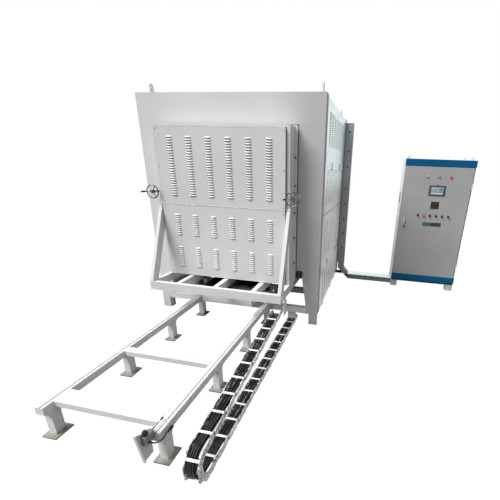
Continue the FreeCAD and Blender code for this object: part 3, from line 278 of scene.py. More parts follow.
# upper and its shade are a painted sheen: the side covers turn paler higher up
coverDetails = {
    "upper": (230, 242, 242), "upperShade": (220, 234, 236), "upperMetallic": 0.95, "turns": (1.20, 1.42),
    "streak": (208, 210, 210), "streakBand": (0.45, 0.57),
}


def metal(name, colour, shade, metallic, rough, patch, brushing, grain, details=coverDetails):
    finish = Finish(name)
    cell = finish.add("TexVoronoi", {"Vector": finish.place, "Scale": patch}, "Color", feature="F1").part(0)
    cloud = finish.noise(3.2, 5.0).band(0.35, 0.70)
    brush = finish.streaks(brushing)
    share = cell * 0.55 + cloud * 0.35
    mixed = finish.blend(share, colour, shade)
    if name == "coverSheet":  # higher up the sheet is painted paler and more metallic, a painted sheen; the foot is streaked by washing down
        height = finish.axis(2)
        pale = finish.blend(share, details["upper"], details["upperShade"])
        mixed = finish.blend((height + cloud * 0.05).band(*details["turns"]), mixed, pale)
        streak = finish.streaks((55, 55, 1.1), 2.0, 0.5).band(0.42, 0.66)
        low = 1.0 - height.band(*details["streakBand"])
        mixed = finish.blend(streak * low * 0.5, mixed, details["streak"])
        metallic = height.band(*details["turns"]) * (details["upperMetallic"] - metallic) + metallic
    return finish.surface(Base_Color=mixed, Roughness=brush * 0.16 + cell * 0.08 + (rough - 0.10), Metallic=metallic,
                          Normal=finish.bump(brush, grain))


# moulded plastics and rubber; the flat dark grey among them is painted shade for slots, louvre openings, seams and
# gaps

plastics = {  # colour, shade, roughness, grain
    "blackPlastic": ((24, 25, 27), (38, 39, 41), 0.42, 0.00012),
    "cordSheath": ((18, 18, 20), (32, 32, 34), 0.36, 0.00006),
    "cableSheath": ((20, 21, 22), (66, 68, 70), 0.40, 0.00008),
    "sealRubber": ((28, 27, 26), (46, 44, 42), 0.66, 0.0006),
    # painted shade: a flat dark grey put into slots, louvre openings, seams and gaps
    "slotShade": ((92, 93, 94), (76, 77, 78), 0.60, 0.0001),
    "screenFrame": ((74, 80, 84), (62, 68, 72), 0.45, 0.0001),
    "paleCasing": ((206, 208, 206), (190, 192, 190), 0.44, 0.0001),
}


def plastic(name, colour, shade, rough, grain):
    finish = Finish(name)
    mixed = finish.blend(finish.noise(22.0, 4.0).band(0.40, 0.75) * 0.6, colour, shade)
    fine = finish.noise(520.0, 2.0, 0.5)
    return finish.surface(Base_Color=mixed, Roughness=fine * 0.12 + rough, Normal=finish.bump(fine, grain),
                          Specular_IOR_Level=0.25)


# folded fibre modules, 300 mm square, with soft seams between them

fibreSettings = {"module": 0.30, "colour": (232, 226, 212), "shade": (206, 196, 178), "seam": (150, 138, 120)}


def fibre(module, colour, shade, seam):
    finish = Finish("fibre")
    seams = None
    for axis, start in enumerate((0.0, 0.013, 0.083)):
        line = (finish.axis(axis) + start) / module
        line = (line.maths("FRACT") - 0.5).maths("ABSOLUTE").band(0.486, 0.499)
        seams = line if seams is None else seams.maths("MAXIMUM", line)
    fluff = finish.noise(60.0, 6.0, 0.7)
    mixed = finish.blend(seams * 0.8, finish.blend(fluff.band(0.35, 0.75), colour, shade), seam)
    rise = fluff * 0.4 + finish.streaks((30, 30, 4)) * 0.4 - seams
    return finish.surface(Base_Color=mixed, Roughness=0.95, Normal=finish.bump(rise, 0.006))


# fireclay bricks in stretcher bond on the bogie

brickSettings = {"colour": (214, 186, 138), "shade": (190, 158, 112), "seam": (150, 140, 122), "length": 0.230,
                 "height": 0.064, "gap": 0.004}


def brick(colour, shade, seam, length, height, gap):
    finish = Finish("brick")
    pattern, joint = finish.tiles(finish.axis(0) + finish.axis(1), finish.axis(2), length, height, gap, 0.3, 0.5,
                                  (0.2, 0.8, 0.5))
    grit = finish.noise(90.0, 6.0, 0.7)
    mixed = finish.blend(grit.band(0.5, 0.8) * 0.5, finish.blend(pattern, colour, shade), shade)
    return finish.surface(Base_Color=finish.blend(joint, mixed, seam), Roughness=0.92,
                          Normal=finish.bump(grit * 0.3 - joint, 0.003))


# lamps and switches change colour from one to the next along the door

lampSettings = {"start": 1.813, "step": 0.136, "colours": [(226, 176, 96), (40, 176, 130), (222, 52, 62)]}
switchSettings = {"start": 1.799, "step": 0.072, "colours": [(22, 22, 24), (196, 60, 58), (70, 18, 18), (26, 40, 34),
                                                             (28, 66, 46), (132, 26, 26)]}
labelSettings = {"middle": 2.010, "left": (40, 92, 62), "right": (34, 38, 38), "worn": (112, 122, 116)}


def stepped(finish, start, step, colours):
    order = ((finish.axis(0) - start) / step).maths("FLOOR")
    mixed = colours[0]
    for n, shade in enumerate(colours[1:]):
        mixed = finish.blend(order > n + 0.5, mixed, shade)
    return mixed


def lampLens(**settings):
    finish = Finish("lampLens")
    colour = stepped(finish, **settings)
    rib = finish.add("TexWave", {"Vector": finish.place, "Scale": 90.0, "Distortion": 0.5}, "Fac",
                     bands_direction="X")
    return finish.surface(Base_Color=colour, Roughness=rib * 0.1 + 0.12, Emission_Color=colour,
                          Emission_Strength=0.30, Normal=finish.bump(rib, 0.0003))


def switchPlastic(**settings):
    finish = Finish("switchPlastic")
    grain = finish.noise(500.0, 2.0)
    return finish.surface(Base_Color=stepped(finish, **settings), Roughness=grain * 0.1 + 0.3,
                          Normal=finish.bump(grain, 0.00008), Specular_IOR_Level=0.3)


def labelPlate(middle, left, right, worn):
    finish = Finish("labelPlate")
    fine = finish.streaks((12, 300, 300))
    mixed = finish.blend(fine.band(0.5, 0.8) * 0.5, finish.blend(finish.axis(0) > middle, left, right), worn)
    return finish.surface(Base_Color=mixed, Roughness=fine * 0.2 + 0.3, Metallic=0.2,
                          Normal=finish.bump(fine, 0.00004))


# a lit touch screen: pale panes with a darker rule between them, and one small dark pane

screenSettings = {"corner": (1.948, 1.232), "pane": (0.0465, 0.0262), "rule": 0.0012, "foot": (1.240, 1.244),
                  "darkX": (2.052, 2.076), "darkZ": (1.276, 1.300)}


def touchScreen(corner, pane, rule, foot, darkX, darkZ):
    finish = Finish("touchScreen")
    across, up = finish.axis(0), finish.axis(2)
    panes = finish.tiles(across - corner[0], up - corner[1], *pane, rule, 0.2, 0.0, (0, 1, 0.5))[0]
    cloud = finish.noise(30.0, 2.0).band(0.3, 0.7)
    mixed = finish.blend(panes * 0.5 + cloud * 0.4, (112, 136, 158), (178, 196, 210))
    mixed = finish.blend((1.0 - up.band(*foot)) * 0.8, mixed, (226, 236, 242))
    dark = (across > darkX[0]) * (up > darkZ[0]) * (1.0 - (across > darkX[1])) * (1.0 - (up > darkZ[1]))
    mixed = finish.blend(dark * 0.85, mixed, (46, 66, 96))
    return finish.surface(Base_Color=(20, 24, 30), Roughness=cloud * 0.05 + 0.12, Emission_Color=mixed,
                          Emission_Strength=0.80)


# lit figures on the temperature controller, red above and green below

figureSettings = {"split": 1.101, "lower": (30, 74, 58), "upper": (196, 44, 52)}


def figureGlow(split, lower, upper):
    finish = Finish("figureGlow")
    return finish.surface(Base_Color=(20, 8, 8), Roughness=finish.noise(900.0, 1.0) * 0.1 + 0.3,
                          Emission_Color=finish.blend(finish.axis(2) > split, lower, upper), Emission_Strength=0.9)


finishes = {name: make(name, *row) for make, rows in ((paint, paints), (metal, metals), (plastic, plastics))
            for name, row in rows.items()}
for make, settings in ((fibre, fibreSettings), (brick, brickSettings), (lampLens, lampSettings),
                       (switchPlastic, switchSettings), (labelPlate, labelSettings), (touchScreen, screenSettings),
                       (figureGlow, figureSettings)):
    finishes[make.__name__] = make(**settings)
switchCord.data.materials.append(finishes["cordSheath"])

# a node wears the finish named like its slot, apart from these slots and nodes
slotFinishes = {"base_paint": "trackPaint", "panel_screen": "screenFrame"}
nodeFinishes = {
    "trunkPaint": ("cable_trunking", "trunking_spacer"), "sealRubber": ("door_seal", "edge_seals"),
    "cableSheath": ("chain_cables",), "barAluminium": ("chain_crossbars",), "plateZinc": ("mounting_plate",),
    # the case and its feet keep the cabinet's light grey; the door's darker paint is painted shade
    "casePaint": ("cabinet_case", "cabinet_feet"), "trackPaint": ("lifting_lugs", "chain_bracket"),
}
ownFinishes = {node: finish for finish, group in nodeFinishes.items() for node in group}

for row in frame["record"]["subparts"]:
    first, *rest = row["material_slot"].split("_")
    chosen = slotFinishes.get(row["material_slot"], first + "".join(word.capitalize() for word in rest))
    for place in nodes[row["node"]].material_slots:
        place.material = finishes[ownFinishes.get(row["node"], chosen)]
print("finishes made:", len(finishes))


# shared mesh steps: blocks, rods, rings and turned parts, all in millimetres

turnTo = {"X": turn(90, "Y"), "Y": turn(90, "X"), "Z": Matrix()}


def finishPiece(shape, name, body, used, slot, stands=None):
    shape.name = name
    for entry in used.split():
        shape.materials.append(finishes[entry])
    piece = linked(name, shape)
    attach(piece, body)
    if stands:
        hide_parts(stands)


class Shape:
    def __init__(self):
        self.mesh = bmesh.new()

    def bevel(self, edges, size, segments):
        bmesh.ops.bevel(self.mesh, geom=edges, offset=size * mm, offset_type="OFFSET", affect="EDGES",
                        segments=segments, profile=0.5, material=-1)

    def dress(self, corners, finish, bevel, segments, fewest=0):
        faces = list({face for corner in corners for face in corner.link_faces})
        for face in faces:
            face.material_index = finish
        if bevel:
            faces = [face for face in faces if len(face.verts) > fewest]
            self.bevel(list({edge for face in faces for edge in face.edges}), bevel, segments)
        return corners

    def block(self, low, high, bevel=0, segments=1, finish=0, place=Matrix()):
        low, high = Vector(low) * mm, Vector(high) * mm
        made = bmesh.ops.create_cube(self.mesh, size=1.0, matrix=place @ Matrix.Translation(
            (low + high) / 2) @ Matrix.Diagonal((*(high - low), 1.0)))
        return self.dress(made["verts"], finish, bevel, segments)

    def rod(self, radius, length, middle, axis, sides=24, bevel=0, segments=2, finish=0, end=None, place=Matrix()):
        made = bmesh.ops.create_cone(self.mesh, cap_ends=True, segments=sides, radius1=radius * mm,
                                     radius2=(radius if end is None else end) * mm, depth=length * mm,
                                     matrix=place @ at(middle, turnTo[axis]))
        self.dress(made["verts"], finish, bevel, segments, 4)  # only the caps have more than four corners

    def spun(self, geom, middle, axis, steps, finish):
        before = set(self.mesh.faces)
        bmesh.ops.spin(self.mesh, geom=geom, cent=(0, 0, 0), axis=(0, 0, 1), angle=math.tau, steps=steps,
                       use_merge=True)
        faces = [face for face in self.mesh.faces if face not in before]
        for face in faces:
            face.material_index = finish
        corners = list({corner for face in faces for corner in face.verts})
        bmesh.ops.transform(self.mesh, matrix=at(middle, turnTo[axis]), verts=corners)
        return corners

    def ring(self, radius, bar, middle, axis, steps=48, sides=12, finish=0):
        start = bmesh.ops.create_circle(self.mesh, segments=sides, radius=bar * mm,
                                        matrix=at((radius, 0, 0), turn(90, "X")))["verts"]
        edges = list({edge for corner in start for edge in corner.link_edges})
        self.spun(start + edges, middle, axis, steps, finish)

    def lathe(self, outline, middle, axis, steps=40, finish=0):
        corners = [self.mesh.verts.new((radius * mm, 0, along * mm)) for radius, along in outline]
        edges = [self.mesh.edges.new(pair) for pair in zip(corners, corners[1:])]
        fresh = self.spun(corners + edges, middle, axis, steps, finish)
        bmesh.ops.remove_doubles(self.mesh, verts=fresh, dist=0.000002)

    def plain(self):
        made = bpy.data.meshes.new("shape")
        self.mesh.to_mesh(made)
        self.mesh.free()
        return made

    def made(self, angle=35):
        bmesh.ops.recalc_face_normals(self.mesh, faces=self.mesh.faces[:])
        for face in self.mesh.faces:
            face.smooth = True
        for edge in self.mesh.edges:
            edge.smooth = edge.calc_face_angle(0.0) < math.radians(angle)
        return self.plain()

    def done(self, *entries, angle=35):
        finishPiece(self.made(angle), *entries)


def gather(groups, *entries):
    whole = Shape()
    for shape, places in groups:
        for place in places:
            copied = shape.copy()
            copied.transform(place)
            whole.mesh.from_mesh(copied)
            bpy.data.meshes.remove(copied)
    finishPiece(whole.plain(), *entries)


# fixings face the front: a slotted pan head, a hexagon bolt on its washer, a pressed louvre

faceTurns = {"front": 0, "right": 90, "back": 180, "left": 270}


def placesOn(side, face, pairs):
    if side == "top":
        return [at((across, up, face), turn(-90, "X")) for across, up in pairs]
    ends = side in ("front", "back")
    return [at((across, face, up) if ends else (face, across, up), turn(faceTurns[side], "Z"))
            for across, up in pairs]


def screwHead(radius, height):
    head = Shape()
    # index 1, a dark ring round the head and a dark bar across it, is painted shade of the hole and of the slot
    head.rod(radius * 1.25, 0.6, (0, -0.3, 0), "Y", 14, finish=1)
    head.rod(radius, height, (0, -height / 2 - 0.2, 0), "Y", 14, height * 0.4)
    head.block((-radius * 0.75, -height - 0.3, -radius * 0.13), (radius * 0.75, -height + 0.2, radius * 0.13),
               finish=1)
    return head.made()


def hexBolt(radius, height):
    bolt = Shape()
    bolt.rod(radius * 1.45, 1.6, (0, -0.8, 0), "Y", 20, 0.3, 1)
    bolt.rod(radius, height, (0, -1.4 - height / 2, 0), "Y", 6, radius * 0.12, 1)
    return bolt.made(25)


def louvre(width, height, depth, lip):  # a hood that leans out towards its open lower edge
    hood = Shape()
    width, height = width * mm, height * mm
    bmesh.ops.create_grid(hood.mesh, x_segments=6, y_segments=3, size=0.5,
                          matrix=turn(90, "X") @ Matrix.Diagonal((width, height, 1, 1)))
    for corner in hood.mesh.verts:
        down = 0.5 - corner.co.z / height
        end = 1 - abs(corner.co.x / (width / 2)) ** 5
        corner.co.y = -depth * mm * math.sin(down * math.pi / 2) * end
    lowest = [edge for edge in hood.mesh.edges if edge.is_boundary
              and all(corner.co.z < -height * 0.49 for corner in edge.verts)]
    # the lip closing the hood's underside takes index 1, a flat dark that is painted shade of the open slot
    for item in bmesh.ops.extrude_edge_only(hood.mesh, edges=lowest)["geom"]:
        if isinstance(item, bmesh.types.BMVert):
            item.co.z -= lip * mm
            item.co.y = -0.0002
        elif isinstance(item, bmesh.types.BMFace):
            item.material_index = 1
    return hood.made(50)


# door: louvres, screws and bolts, painted highlights on the panel and flange edges with painted shade in the gaps
# behind, the doorway's painted shadow strip, and corner pads that also fill the shaded opening

doorSettings = {
    "columns": (-438, -263, -88, 88, 263, 438), "face": -191, "hood": (58, 12, 8, 3.4),
    "banks": {"Upper": [(1684, 1217, 24)], "Lower": [(1041, 866, 10), (743, 568, 10)]},
    "screw": (5.0, 3.0), "screwX": (-558, 558), "screwZ": (1743, 1450, 1156, 1102, 800, 500),
    "bolt": (6.0, 5), "boltX": (-615, 615), "boltY": -35, "boltZ": (1555, 1329, 1100, 876, 638),
    "panels": ((570.5, 476.5, 1127.5), (570.5, 1134.5, 1761.5)), "panelBack": (-173, -171),
    "flange": (624, 470, 1799), "flangeY": (-37, -22), "stripLow": 556,
    "padX": (631, 690), "padY": (-14, -2), "padZ": (488, 552),
}


def makeDoor(columns, face, hood, banks, screw, screwX, screwZ, bolt, boltX, boltY, boltZ, panels, panelBack,
             flange, flangeY, stripLow, padX, padY, padZ):
    for word, rows in banks.items():
        gather([(louvre(*hood), placesOn("front", face, product(columns, evenly(*bank)))) for bank in rows],
               f"door{word}Louvres", "bogie", "framePaint slotShade", "frame_paint")
    gather([(screwHead(*screw), placesOn("front", face, product(screwX, screwZ)))],
           "doorScrews", "bogie", "framePaint darkSteel", "frame_paint")
    gather([(hexBolt(*bolt), placesOn("front", boltY, product(boltX, boltZ)))],
           "doorFlangeBolts", "bogie", "darkSteel", "frame_paint")
    # bright rods and flange edges are painted highlights; the strips of index 1 behind the panel edges are painted
    # shade in the gap
    edgeLightAndShade = Shape()
    near, far = panelBack
    for across, low, high in panels:
        for x, edge in ((-across, -across - 3.5), (across, across + 3.5)):
            edgeLightAndShade.rod(1.5, high - low, (x, face + 0.2, (low + high) / 2), "Z", 8)
            edgeLightAndShade.block((edge - 3, near, low - 6), (edge + 3, far, high + 6), finish=1)
        for up, edge in ((low, low - 3.5), (high, high + 3.5)):
            edgeLightAndShade.rod(1.5, across * 2, (0, face + 0.2, up), "X", 8)
            edgeLightAndShade.block((-across - 6, near, edge - 3), (across + 6, far, edge + 3), finish=1)
    across, low, high = flange
    near, far = flangeY
    for x in (-across, across):
        edgeLightAndShade.block((x - 1.4, near, low), (x + 1.4, far, high), 0.6, 1, 2)
    edgeLightAndShade.block((-across, near, high - 1.4), (across, far, high + 1.4), 0.6, 1, 2)
    edgeLightAndShade.done("doorEdging", "bogie", "barAluminium slotShade barAluminium", "frame_paint")
    # a dark strip on the plate around the doorway: painted shadow of the door's flange
    strip = Shape()
    for x in (-across - 5, across + 5):
        strip.block((x - 3, -1.2, stripLow), (x + 3, 0.2, high + 8), 0.4)
    strip.block((-across - 8, -1.2, high + 4), (across + 8, 0.2, high + 10), 0.4)
    strip.done("doorwayStrip", "furnace", "slotShade", "frame_paint")
    # black rubber pads at the doorway's lower corners, which also fill the opening below the plate with dark: partly
    # painted shade
    shadePads = Shape()
    for side in (1, -1):
        left, right = sorted(side * x for x in padX)
        shadePads.block((left, padY[0], padZ[0]), (right, padY[1], padZ[1]), 4, 3)
        for up in (padZ[0] + 14, padZ[1] - 14):
            shadePads.rod(4.5, 2.4, ((left + right) / 2, padY[0] - 1, up), "Y", 14, 0.8, 2, 1)
    shadePads.done("cornerPads", "furnace", "sealRubber platedSteel", "cord_sheath")


makeDoor(**doorSettings)
print("door louvres and fixings made")


# side covers: louvres, turning latches over their catches, and folded edges painted bright as painted highlights, over
# painted shade at the seam

sideSettings = {
    "columns": (257, 397, 555, 703, 860, 1008, 1166, 1306), "face": 850, "hood": (76, 8.0, 6, 4.4),
    "banks": {"Upper": ((1936, 1680, 16), (1470, 1167, 19)), "Lower": ((977, 626, 22), (490, 180, 19))},
    # the lower louvres' hoods wear bright aluminium, a painted highlight, and their lips dark steel, painted shade
    "shades": {"Upper": "coverSheet slotShade", "Lower": "barAluminium darkSteel"},
    "latchY": (480, 1072), "latchZ": (1524, 558), "catchDrop": 50,
    "screw": (4.5, 2.6), "screwY": (150, 773, 777, 1400), "screwZ": (1990, 1541, 1100, 1046, 600, 150),
    "edgeY": (101, 1449), "edgeRows": ((1068, 1076, 1), (1076.5, 1082, 0), (2024.5, 2028.5, 0)),
}


def makeSides(columns, face, hood, banks, shades, latchY, latchZ, catchDrop, screw, screwY, screwZ, edgeY, edgeRows):
    hood, screw, latch, catch = louvre(*hood), screwHead(*screw), Shape(), Shape()
    for (word, side), (level, rows) in product(hands, banks.items()):
        gather([(hood, placesOn(word, side * face, product(columns, evenly(*bank)))) for bank in rows],
               f"{word}{level}Louvres", "furnace", shades[level], "cover_sheet")
    latch.rod(15, 2.0, (0, -1.0, 0), "Y", 28, 0.6)
    latch.rod(9, 3.6, (0, -2.4, 0), "Y", 24, 1.2, 3)
    latch.block((-10, -4.9, -34), (10, -1.8, -2), 1.4, 2, 1)
    catch.block((-22, -1.4, -13), (22, 0.1, 13), 1.0, 2, 1)
    catch.block((-16, -2.4, -8), (16, -1.2, 8), 0.6, 2, 1)
    groups = ((latch.made(), latchY, latchZ), (catch.made(), latchY, [up - catchDrop for up in latchZ]),
              (screw, screwY, screwZ))
    for word, side in hands:
        gather([(shape, placesOn(word, side * face, product(along, rows))) for shape, along, rows in groups],
               f"{word}CoverLatches", "furnace", "platedSteel blackPlastic", "plated_steel")
        edges = Shape()
        inner, outer = sorted((side * (face - 6), side * (face + 0.8)))
        # bright rows are painted highlights along the folds; the row with index 1 is painted shade at the seam between
        # the covers
        for low, high, shade in edgeRows:
            edges.block((inner, edgeY[0], low), (outer, edgeY[1], high), 0.7, 2, shade)
        edges.done(f"{word}CoverEdges", "furnace", "lidZinc slotShade", "cover_sheet")


makeSides(**sideSettings)
print("side louvres and latches made")


# cable trunking: pressed knockouts, a screwed lid strip on the riser and a bright lid on the floor run

trunkSettings = {
    "riserX": 903, "face": 1490, "knockZ": (1909, 1686, 1506, 1238, 1041, 841, 647, 444), "knock": 11,
    "runRow": 56, "runX": (1264, 1355, 1441, 1532), "portX": 999, "port": 17.6,
    "lid": ((941.5, 1494, 96), (945.5, 1588, 2006)), "screw": (6.5, 3.6), "screwY": 1541,
    "screwZ": (1995, 1640, 1277, 959, 683, 365),
    "topX": (1008, 1609), "topY": (1484, 1594), "top": 88.2, "skirt": 73, "waves": 38,
    "inlet": (822, 1528, 84), "folds": 16,
}


def knockout(radius):
    press = Shape()
    press.lathe([(radius + 2.2, 0.2), (radius + 1.6, 1.0), (radius + 0.4, 1.0), (radius, 0.3), (0, 0.3)], (0, 0, 0),
                "Z", 24)
    # the black disc is painted shade inside the knocked-out hole
    press.rod(radius - 0.2, 0.5, (0, 0, 0.55), "Z", 24, finish=1)
    bmesh.ops.transform(press.mesh, matrix=turn(90, "X"), verts=press.mesh.verts[:])
    return press.made()


def makeTrunking(riserX, face, knockZ, knock, runRow, runX, portX, port, lid, screw, screwY, screwZ, topX, topY, top,
                 skirt, waves, inlet, folds):
    rows = [(riserX, up) for up in knockZ] + [(across, runRow) for across in runX]
    gather([(knockout(knock), placesOn("front", face, rows)),
            (knockout(port), placesOn("front", face, [(portX, runRow)]))],
           "trunkKnockouts", "furnace", "trunkPaint blackPlastic", "frame_paint")
    cover = Shape()
    cover.block(*lid, 1.2, 2)
    cover.done("trunkRiserLid", "furnace", "trunkPaint", "frame_paint")
    gather([(screwHead(*screw), placesOn("right", lid[1][0], [(screwY, up) for up in screwZ]))],
           "trunkScrews", "furnace", "platedSteel darkSteel", "plated_steel")
    cover = Shape()
    size = Matrix.Diagonal(((topX[1] - topX[0]) * mm, (topY[1] - topY[0]) * mm, 1, 1))
    bmesh.ops.create_grid(cover.mesh, x_segments=waves * 2, y_segments=3, size=0.5,
                          matrix=at((sum(topX) / 2, sum(topY) / 2, top), size))
    for corner in cover.mesh.verts:  # a thin lid that has been walked on
        corner.co.z += 0.0012 * math.sin(corner.co.x * 47) + 0.0009 * math.sin(corner.co.x * 113 + corner.co.y * 31)
    rim = [edge for edge in cover.mesh.edges if edge.is_boundary]
    for item in bmesh.ops.extrude_edge_only(cover.mesh, edges=rim)["geom"]:
        if isinstance(item, bmesh.types.BMVert):
            item.co.z = skirt * mm
    cover.done("trunkRunLid", "furnace", "lidZinc", "chain_zinc")
    outline = [(0, 0), (25, 0), (25, 9), (21, 10)]
    for n in range(folds):
        outline += [(19.4, 12 + n * 5.2), (22, 14.6 + n * 5.2)]
    outline += [(19.4, 97), (25, 98), (25, 106), (0, 106)]
    hose = Shape()
    hose.lathe(outline, inlet, "X", 28)
    hose.done("cableInlet", "furnace", "blackPlastic", "cord_sheath")


makeTrunking(**trunkSettings)
print("trunking details made")


# back and top: fixing screws, a row of vents and the seams of the roof sheets

backSettings = {
    "face": 1550, "screw": (5.0, 3.0), "screwX": (-810, -405, 405, 810), "screwZ": (160, 560, 960, 1360, 1760, 2000),
    "vent": (110, 12, 7, 3.0), "ventX": (-300, 300), "ventZ": (330, 210, 7), "top": 2042,
    "topX": (-815, -297, 297, 815), "topY": (140, 500, 900, 1300, 1420), "seamX": (-280, 280), "seamY": (104, 1446),
}


def makeBack(face, screw, screwX, screwZ, vent, ventX, ventZ, top, topX, topY, seamX, seamY):
    screw = screwHead(*screw)
    gather([(screw, placesOn("back", face, product(screwX, screwZ))),
            (screw, placesOn("top", top, product(topX, topY)))],
           "backAndRoofScrews", "furnace", "platedSteel darkSteel", "plated_steel")
    gather([(louvre(*vent), placesOn("back", face, product(ventX, evenly(*ventZ))))],
           "backVents", "furnace", "framePaint slotShade", "frame_paint")
    seams = Shape()
    near, far = seamY
    for x in seamX:
        seams.block((x - 14, near, top - 0.3), (x + 14, far, top + 1.2), 0.6, 2)
        # index 1, a thin dark line on each seam, is painted shade in its fold
        seams.block((x - 1, near, top + 0.9), (x + 1, far, top + 1.35), finish=1)
    seams.done("roofSeams", "furnace", "coverSheet slotShade", "cover_sheet")


makeBack(**backSettings)
print("back and roof details made")


# limit switch at the near end of the right rail, with its spring whip and the cord's boot

limitSettings = {
    "x": (325, 353), "y": (-1777, -1717), "z": (196, 246), "capX": 339, "capY": -1759, "cap": 13.5, "neckZ": 208,
    "whipX": 339, "whipZ": 236, "whipEnd": -1629, "coils": 13, "plug": (385.93, -1624, 184), "plugLong": 38,
}


def makeLimitSwitch(x, y, z, capX, capY, cap, neckZ, whipX, whipZ, whipEnd, coils, plug, plugLong):
    (left, right), (near, far), (low, high) = x, y, z
    switch = Shape()
    switch.block((left, near, low), (right, far, high), 1.6, 2)
    switch.block((left + 2, near - 0.1, low + 4), (right - 2, near + 2, high - 4), 1.2, 2)
    switch.block((right - 1, near + 4, low + 3), (right + 1.4, far - 4, high - 3), 1.2, 2)
    for along, up in product((near + 9, far - 9), (low + 8, high - 8)):
        switch.rod(2.8, 1.4, (right + 1.8, along, up), "X", 12, 0.5, 1, 2)
    switch.lathe([(0, 0), (9.5, 0), (9.5, 5), (cap - 1.5, 6), (cap, 8), (cap, 20), (cap - 2.5, 25.5), (6, 27),
                  (0, 27)], (capX, capY, high), "Z", 28, 1)
    switch.lathe([(0, -1), (6.4, -1), (6.4, 4), (5.2, 4.6), (5.2, 7.4), (4.6, 8.4), (4.6, 11.8), (0, 11.8)],
                 (right, capY, neckZ), "X", 20, 1)
    switch.done("limitSwitch", "furnace", "castZinc blackPlastic darkSteel", "plated_steel", "limit_switch")
    whip = Shape()
    whip.rod(5.2, 11, (whipX, far + 5.4, whipZ), "Y", 6, 0.6, 1)
    whip.rod(4.4, 6, (whipX, far + 13.4, whipZ), "Y", 18, 0.8)
    whip.rod(1.6, 62, (whipX, far + 42, whipZ), "Y", 12, finish=1)
    for n in range(coils):
        whip.ring(2.9, 0.8, (whipX, far + 18 + n * 3.1, whipZ), "Y", 18, 6, 1)
    whip.lathe([(0, 0), (3.6, 0), (4.8, 2), (4.8, 15), (3.8, 18), (0, 18.4)], (whipX, whipEnd, whipZ), "Y", 18, 2)
    whip.done("springWhip", "furnace", "brass platedSteel blackPlastic", "plated_steel", "spring_whip")
    boot = Shape()
    boot.lathe([(0, 0), (6.6, 0), (6.9, 2), (6.9, 9), (7.9, 10), (7.9, 14), (6.6, 15), (6.4, 18), (5.8, 19),
                (5.8, 22), (5.2, 23), (5.0, 26), (4.6, 27), (4.4, plugLong - 1), (3.9, plugLong), (0, plugLong)],
               plug, "Y", 24)
    boot.done("cordPlug", "furnace", "blackPlastic", "black_plastic", "cord_gland")


makeLimitSwitch(**limitSettings)
print("limit switch made")


# clamp handwheels: round rim, dished spokes, hub, a turning grip and the screw's thread

wheelSettings = {"x": 640, "y": -215, "z": 1232, "rim": 56, "bar": 5, "hub": 15, "spokes": 3, "grip": 75,
                 "gripRadius": 7, "core": 8.6, "thread": 4, "screwEnd": -3}


def makeHandwheel(word, side, x, y, z, rim, bar, hub, spokes, grip, gripRadius, core, thread, screwEnd):
    x *= side
    wheel = Shape()
    wheel.ring(rim, bar, (x, y, z), "Y")
    wheel.rod(hub, hub * 2, (x, y, z), "Y", 28, 2.0)
    wheel.rod(hub * 0.55, 6, (x, y - hub - 2, z), "Y", 6, 0.8)
    for n in range(spokes):
        wheel.rod(4.2, rim - hub + 6, (0, 0, (rim + hub) / 2), "Z", 12, end=3.4,
                  place=at((x, y, z), turn(30 + 360 / spokes * n, "Y")))
    wheel.rod(gripRadius * 0.55, grip, (x - rim, y - grip / 2, z), "Y", 16)
    wheel.rod(gripRadius, grip * 0.74, (x - rim, y - grip * 0.60, z), "Y", 20, 3.0, 3, 1)
    length = screwEnd - y - hub
    wheel.rod(core, length, (x, y + hub + length / 2, z), "Y", 20, 1.5)
    for n in range(int(length / thread) - 2):
        wheel.ring(core, 1.1, (x, y + hub + 6 + n * thread, z), "Y", 20, 5)
    wheel.done(f"{word}ClampWheel", f"{word}_clamp", "brightWheel blackPlastic", "bright_wheel", f"{word}_handwheel")


for word, side in reversed(hands):
    makeHandwheel(word, side, **wheelSettings)
print("handwheels made")


# drag chain: side plates with pins, bars across both faces, and the cables that lie in it

chainSettings = {
    "centre": 588, "inside": 70, "plate": 3, "gap": 0.3, "pitch": 65, "tall": 20, "far": 92, "floorLinks": 28,
    "bendJoints": 4, "upperLinks": 20, "rise": 7, "barWide": 14, "barThick": 5, "bunch": 0.66, "wander": 1.6,
    "cables": ((-24, -5, 8.5), (-6, -6, 8.0), (13, -5, 9.0), (27, -8, 5.5), (-15, 9, 6.5), (3, 9, 6.0), (21, 8, 6.5)),
}


def linkShape(outer, inside, plate, gap, pitch, tall):
    link = Shape()
    for side in (1, -1):
        offset = inside / 2 + (plate + gap) * outer
        low, high = sorted((side * offset, side * (offset + plate)))
        corners = link.block((low, -tall, -tall), (high, pitch + tall, tall))
        ends = {edge for corner in corners for edge in corner.link_edges
                if abs(edge.verts[0].co.x - edge.verts[1].co.x) > mm}
        link.bevel(list(ends), tall * 0.62, 3)
        face = side * (inside / 2 + plate * (1 + outer) + gap)
        link.rod(6.5, 2.4, (face, 0, 0), "X", 12, 0.6, 1)
        for along in (-11, 11):
            link.rod(3.2, 2.0, (face, pitch / 2 + along, 0), "X", 8, finish=1)
    return link.made()


def barShape(inside, pitch, tall, barWide, barThick):
    bar = Shape()
    for side in (1, -1):
        low, high = sorted((side * (tall - barThick), side * (tall - 0.1)))
        bar.block((-inside / 2, (pitch - barWide) / 2, low), (inside / 2, (pitch + barWide) / 2, high), 1.0, 2)
        for x in (6 - inside / 2, inside / 2 - 6):
            bar.rod(3.0, 1.2, (x, pitch / 2, side * tall), "Z", 10)
    return bar.made()


def asTube(guide):
    bpy.context.view_layer.update()
    made = bpy.data.meshes.new_from_object(guide.evaluated_get(bpy.context.evaluated_depsgraph_get()))
    bpy.data.objects.remove(guide)
    return made


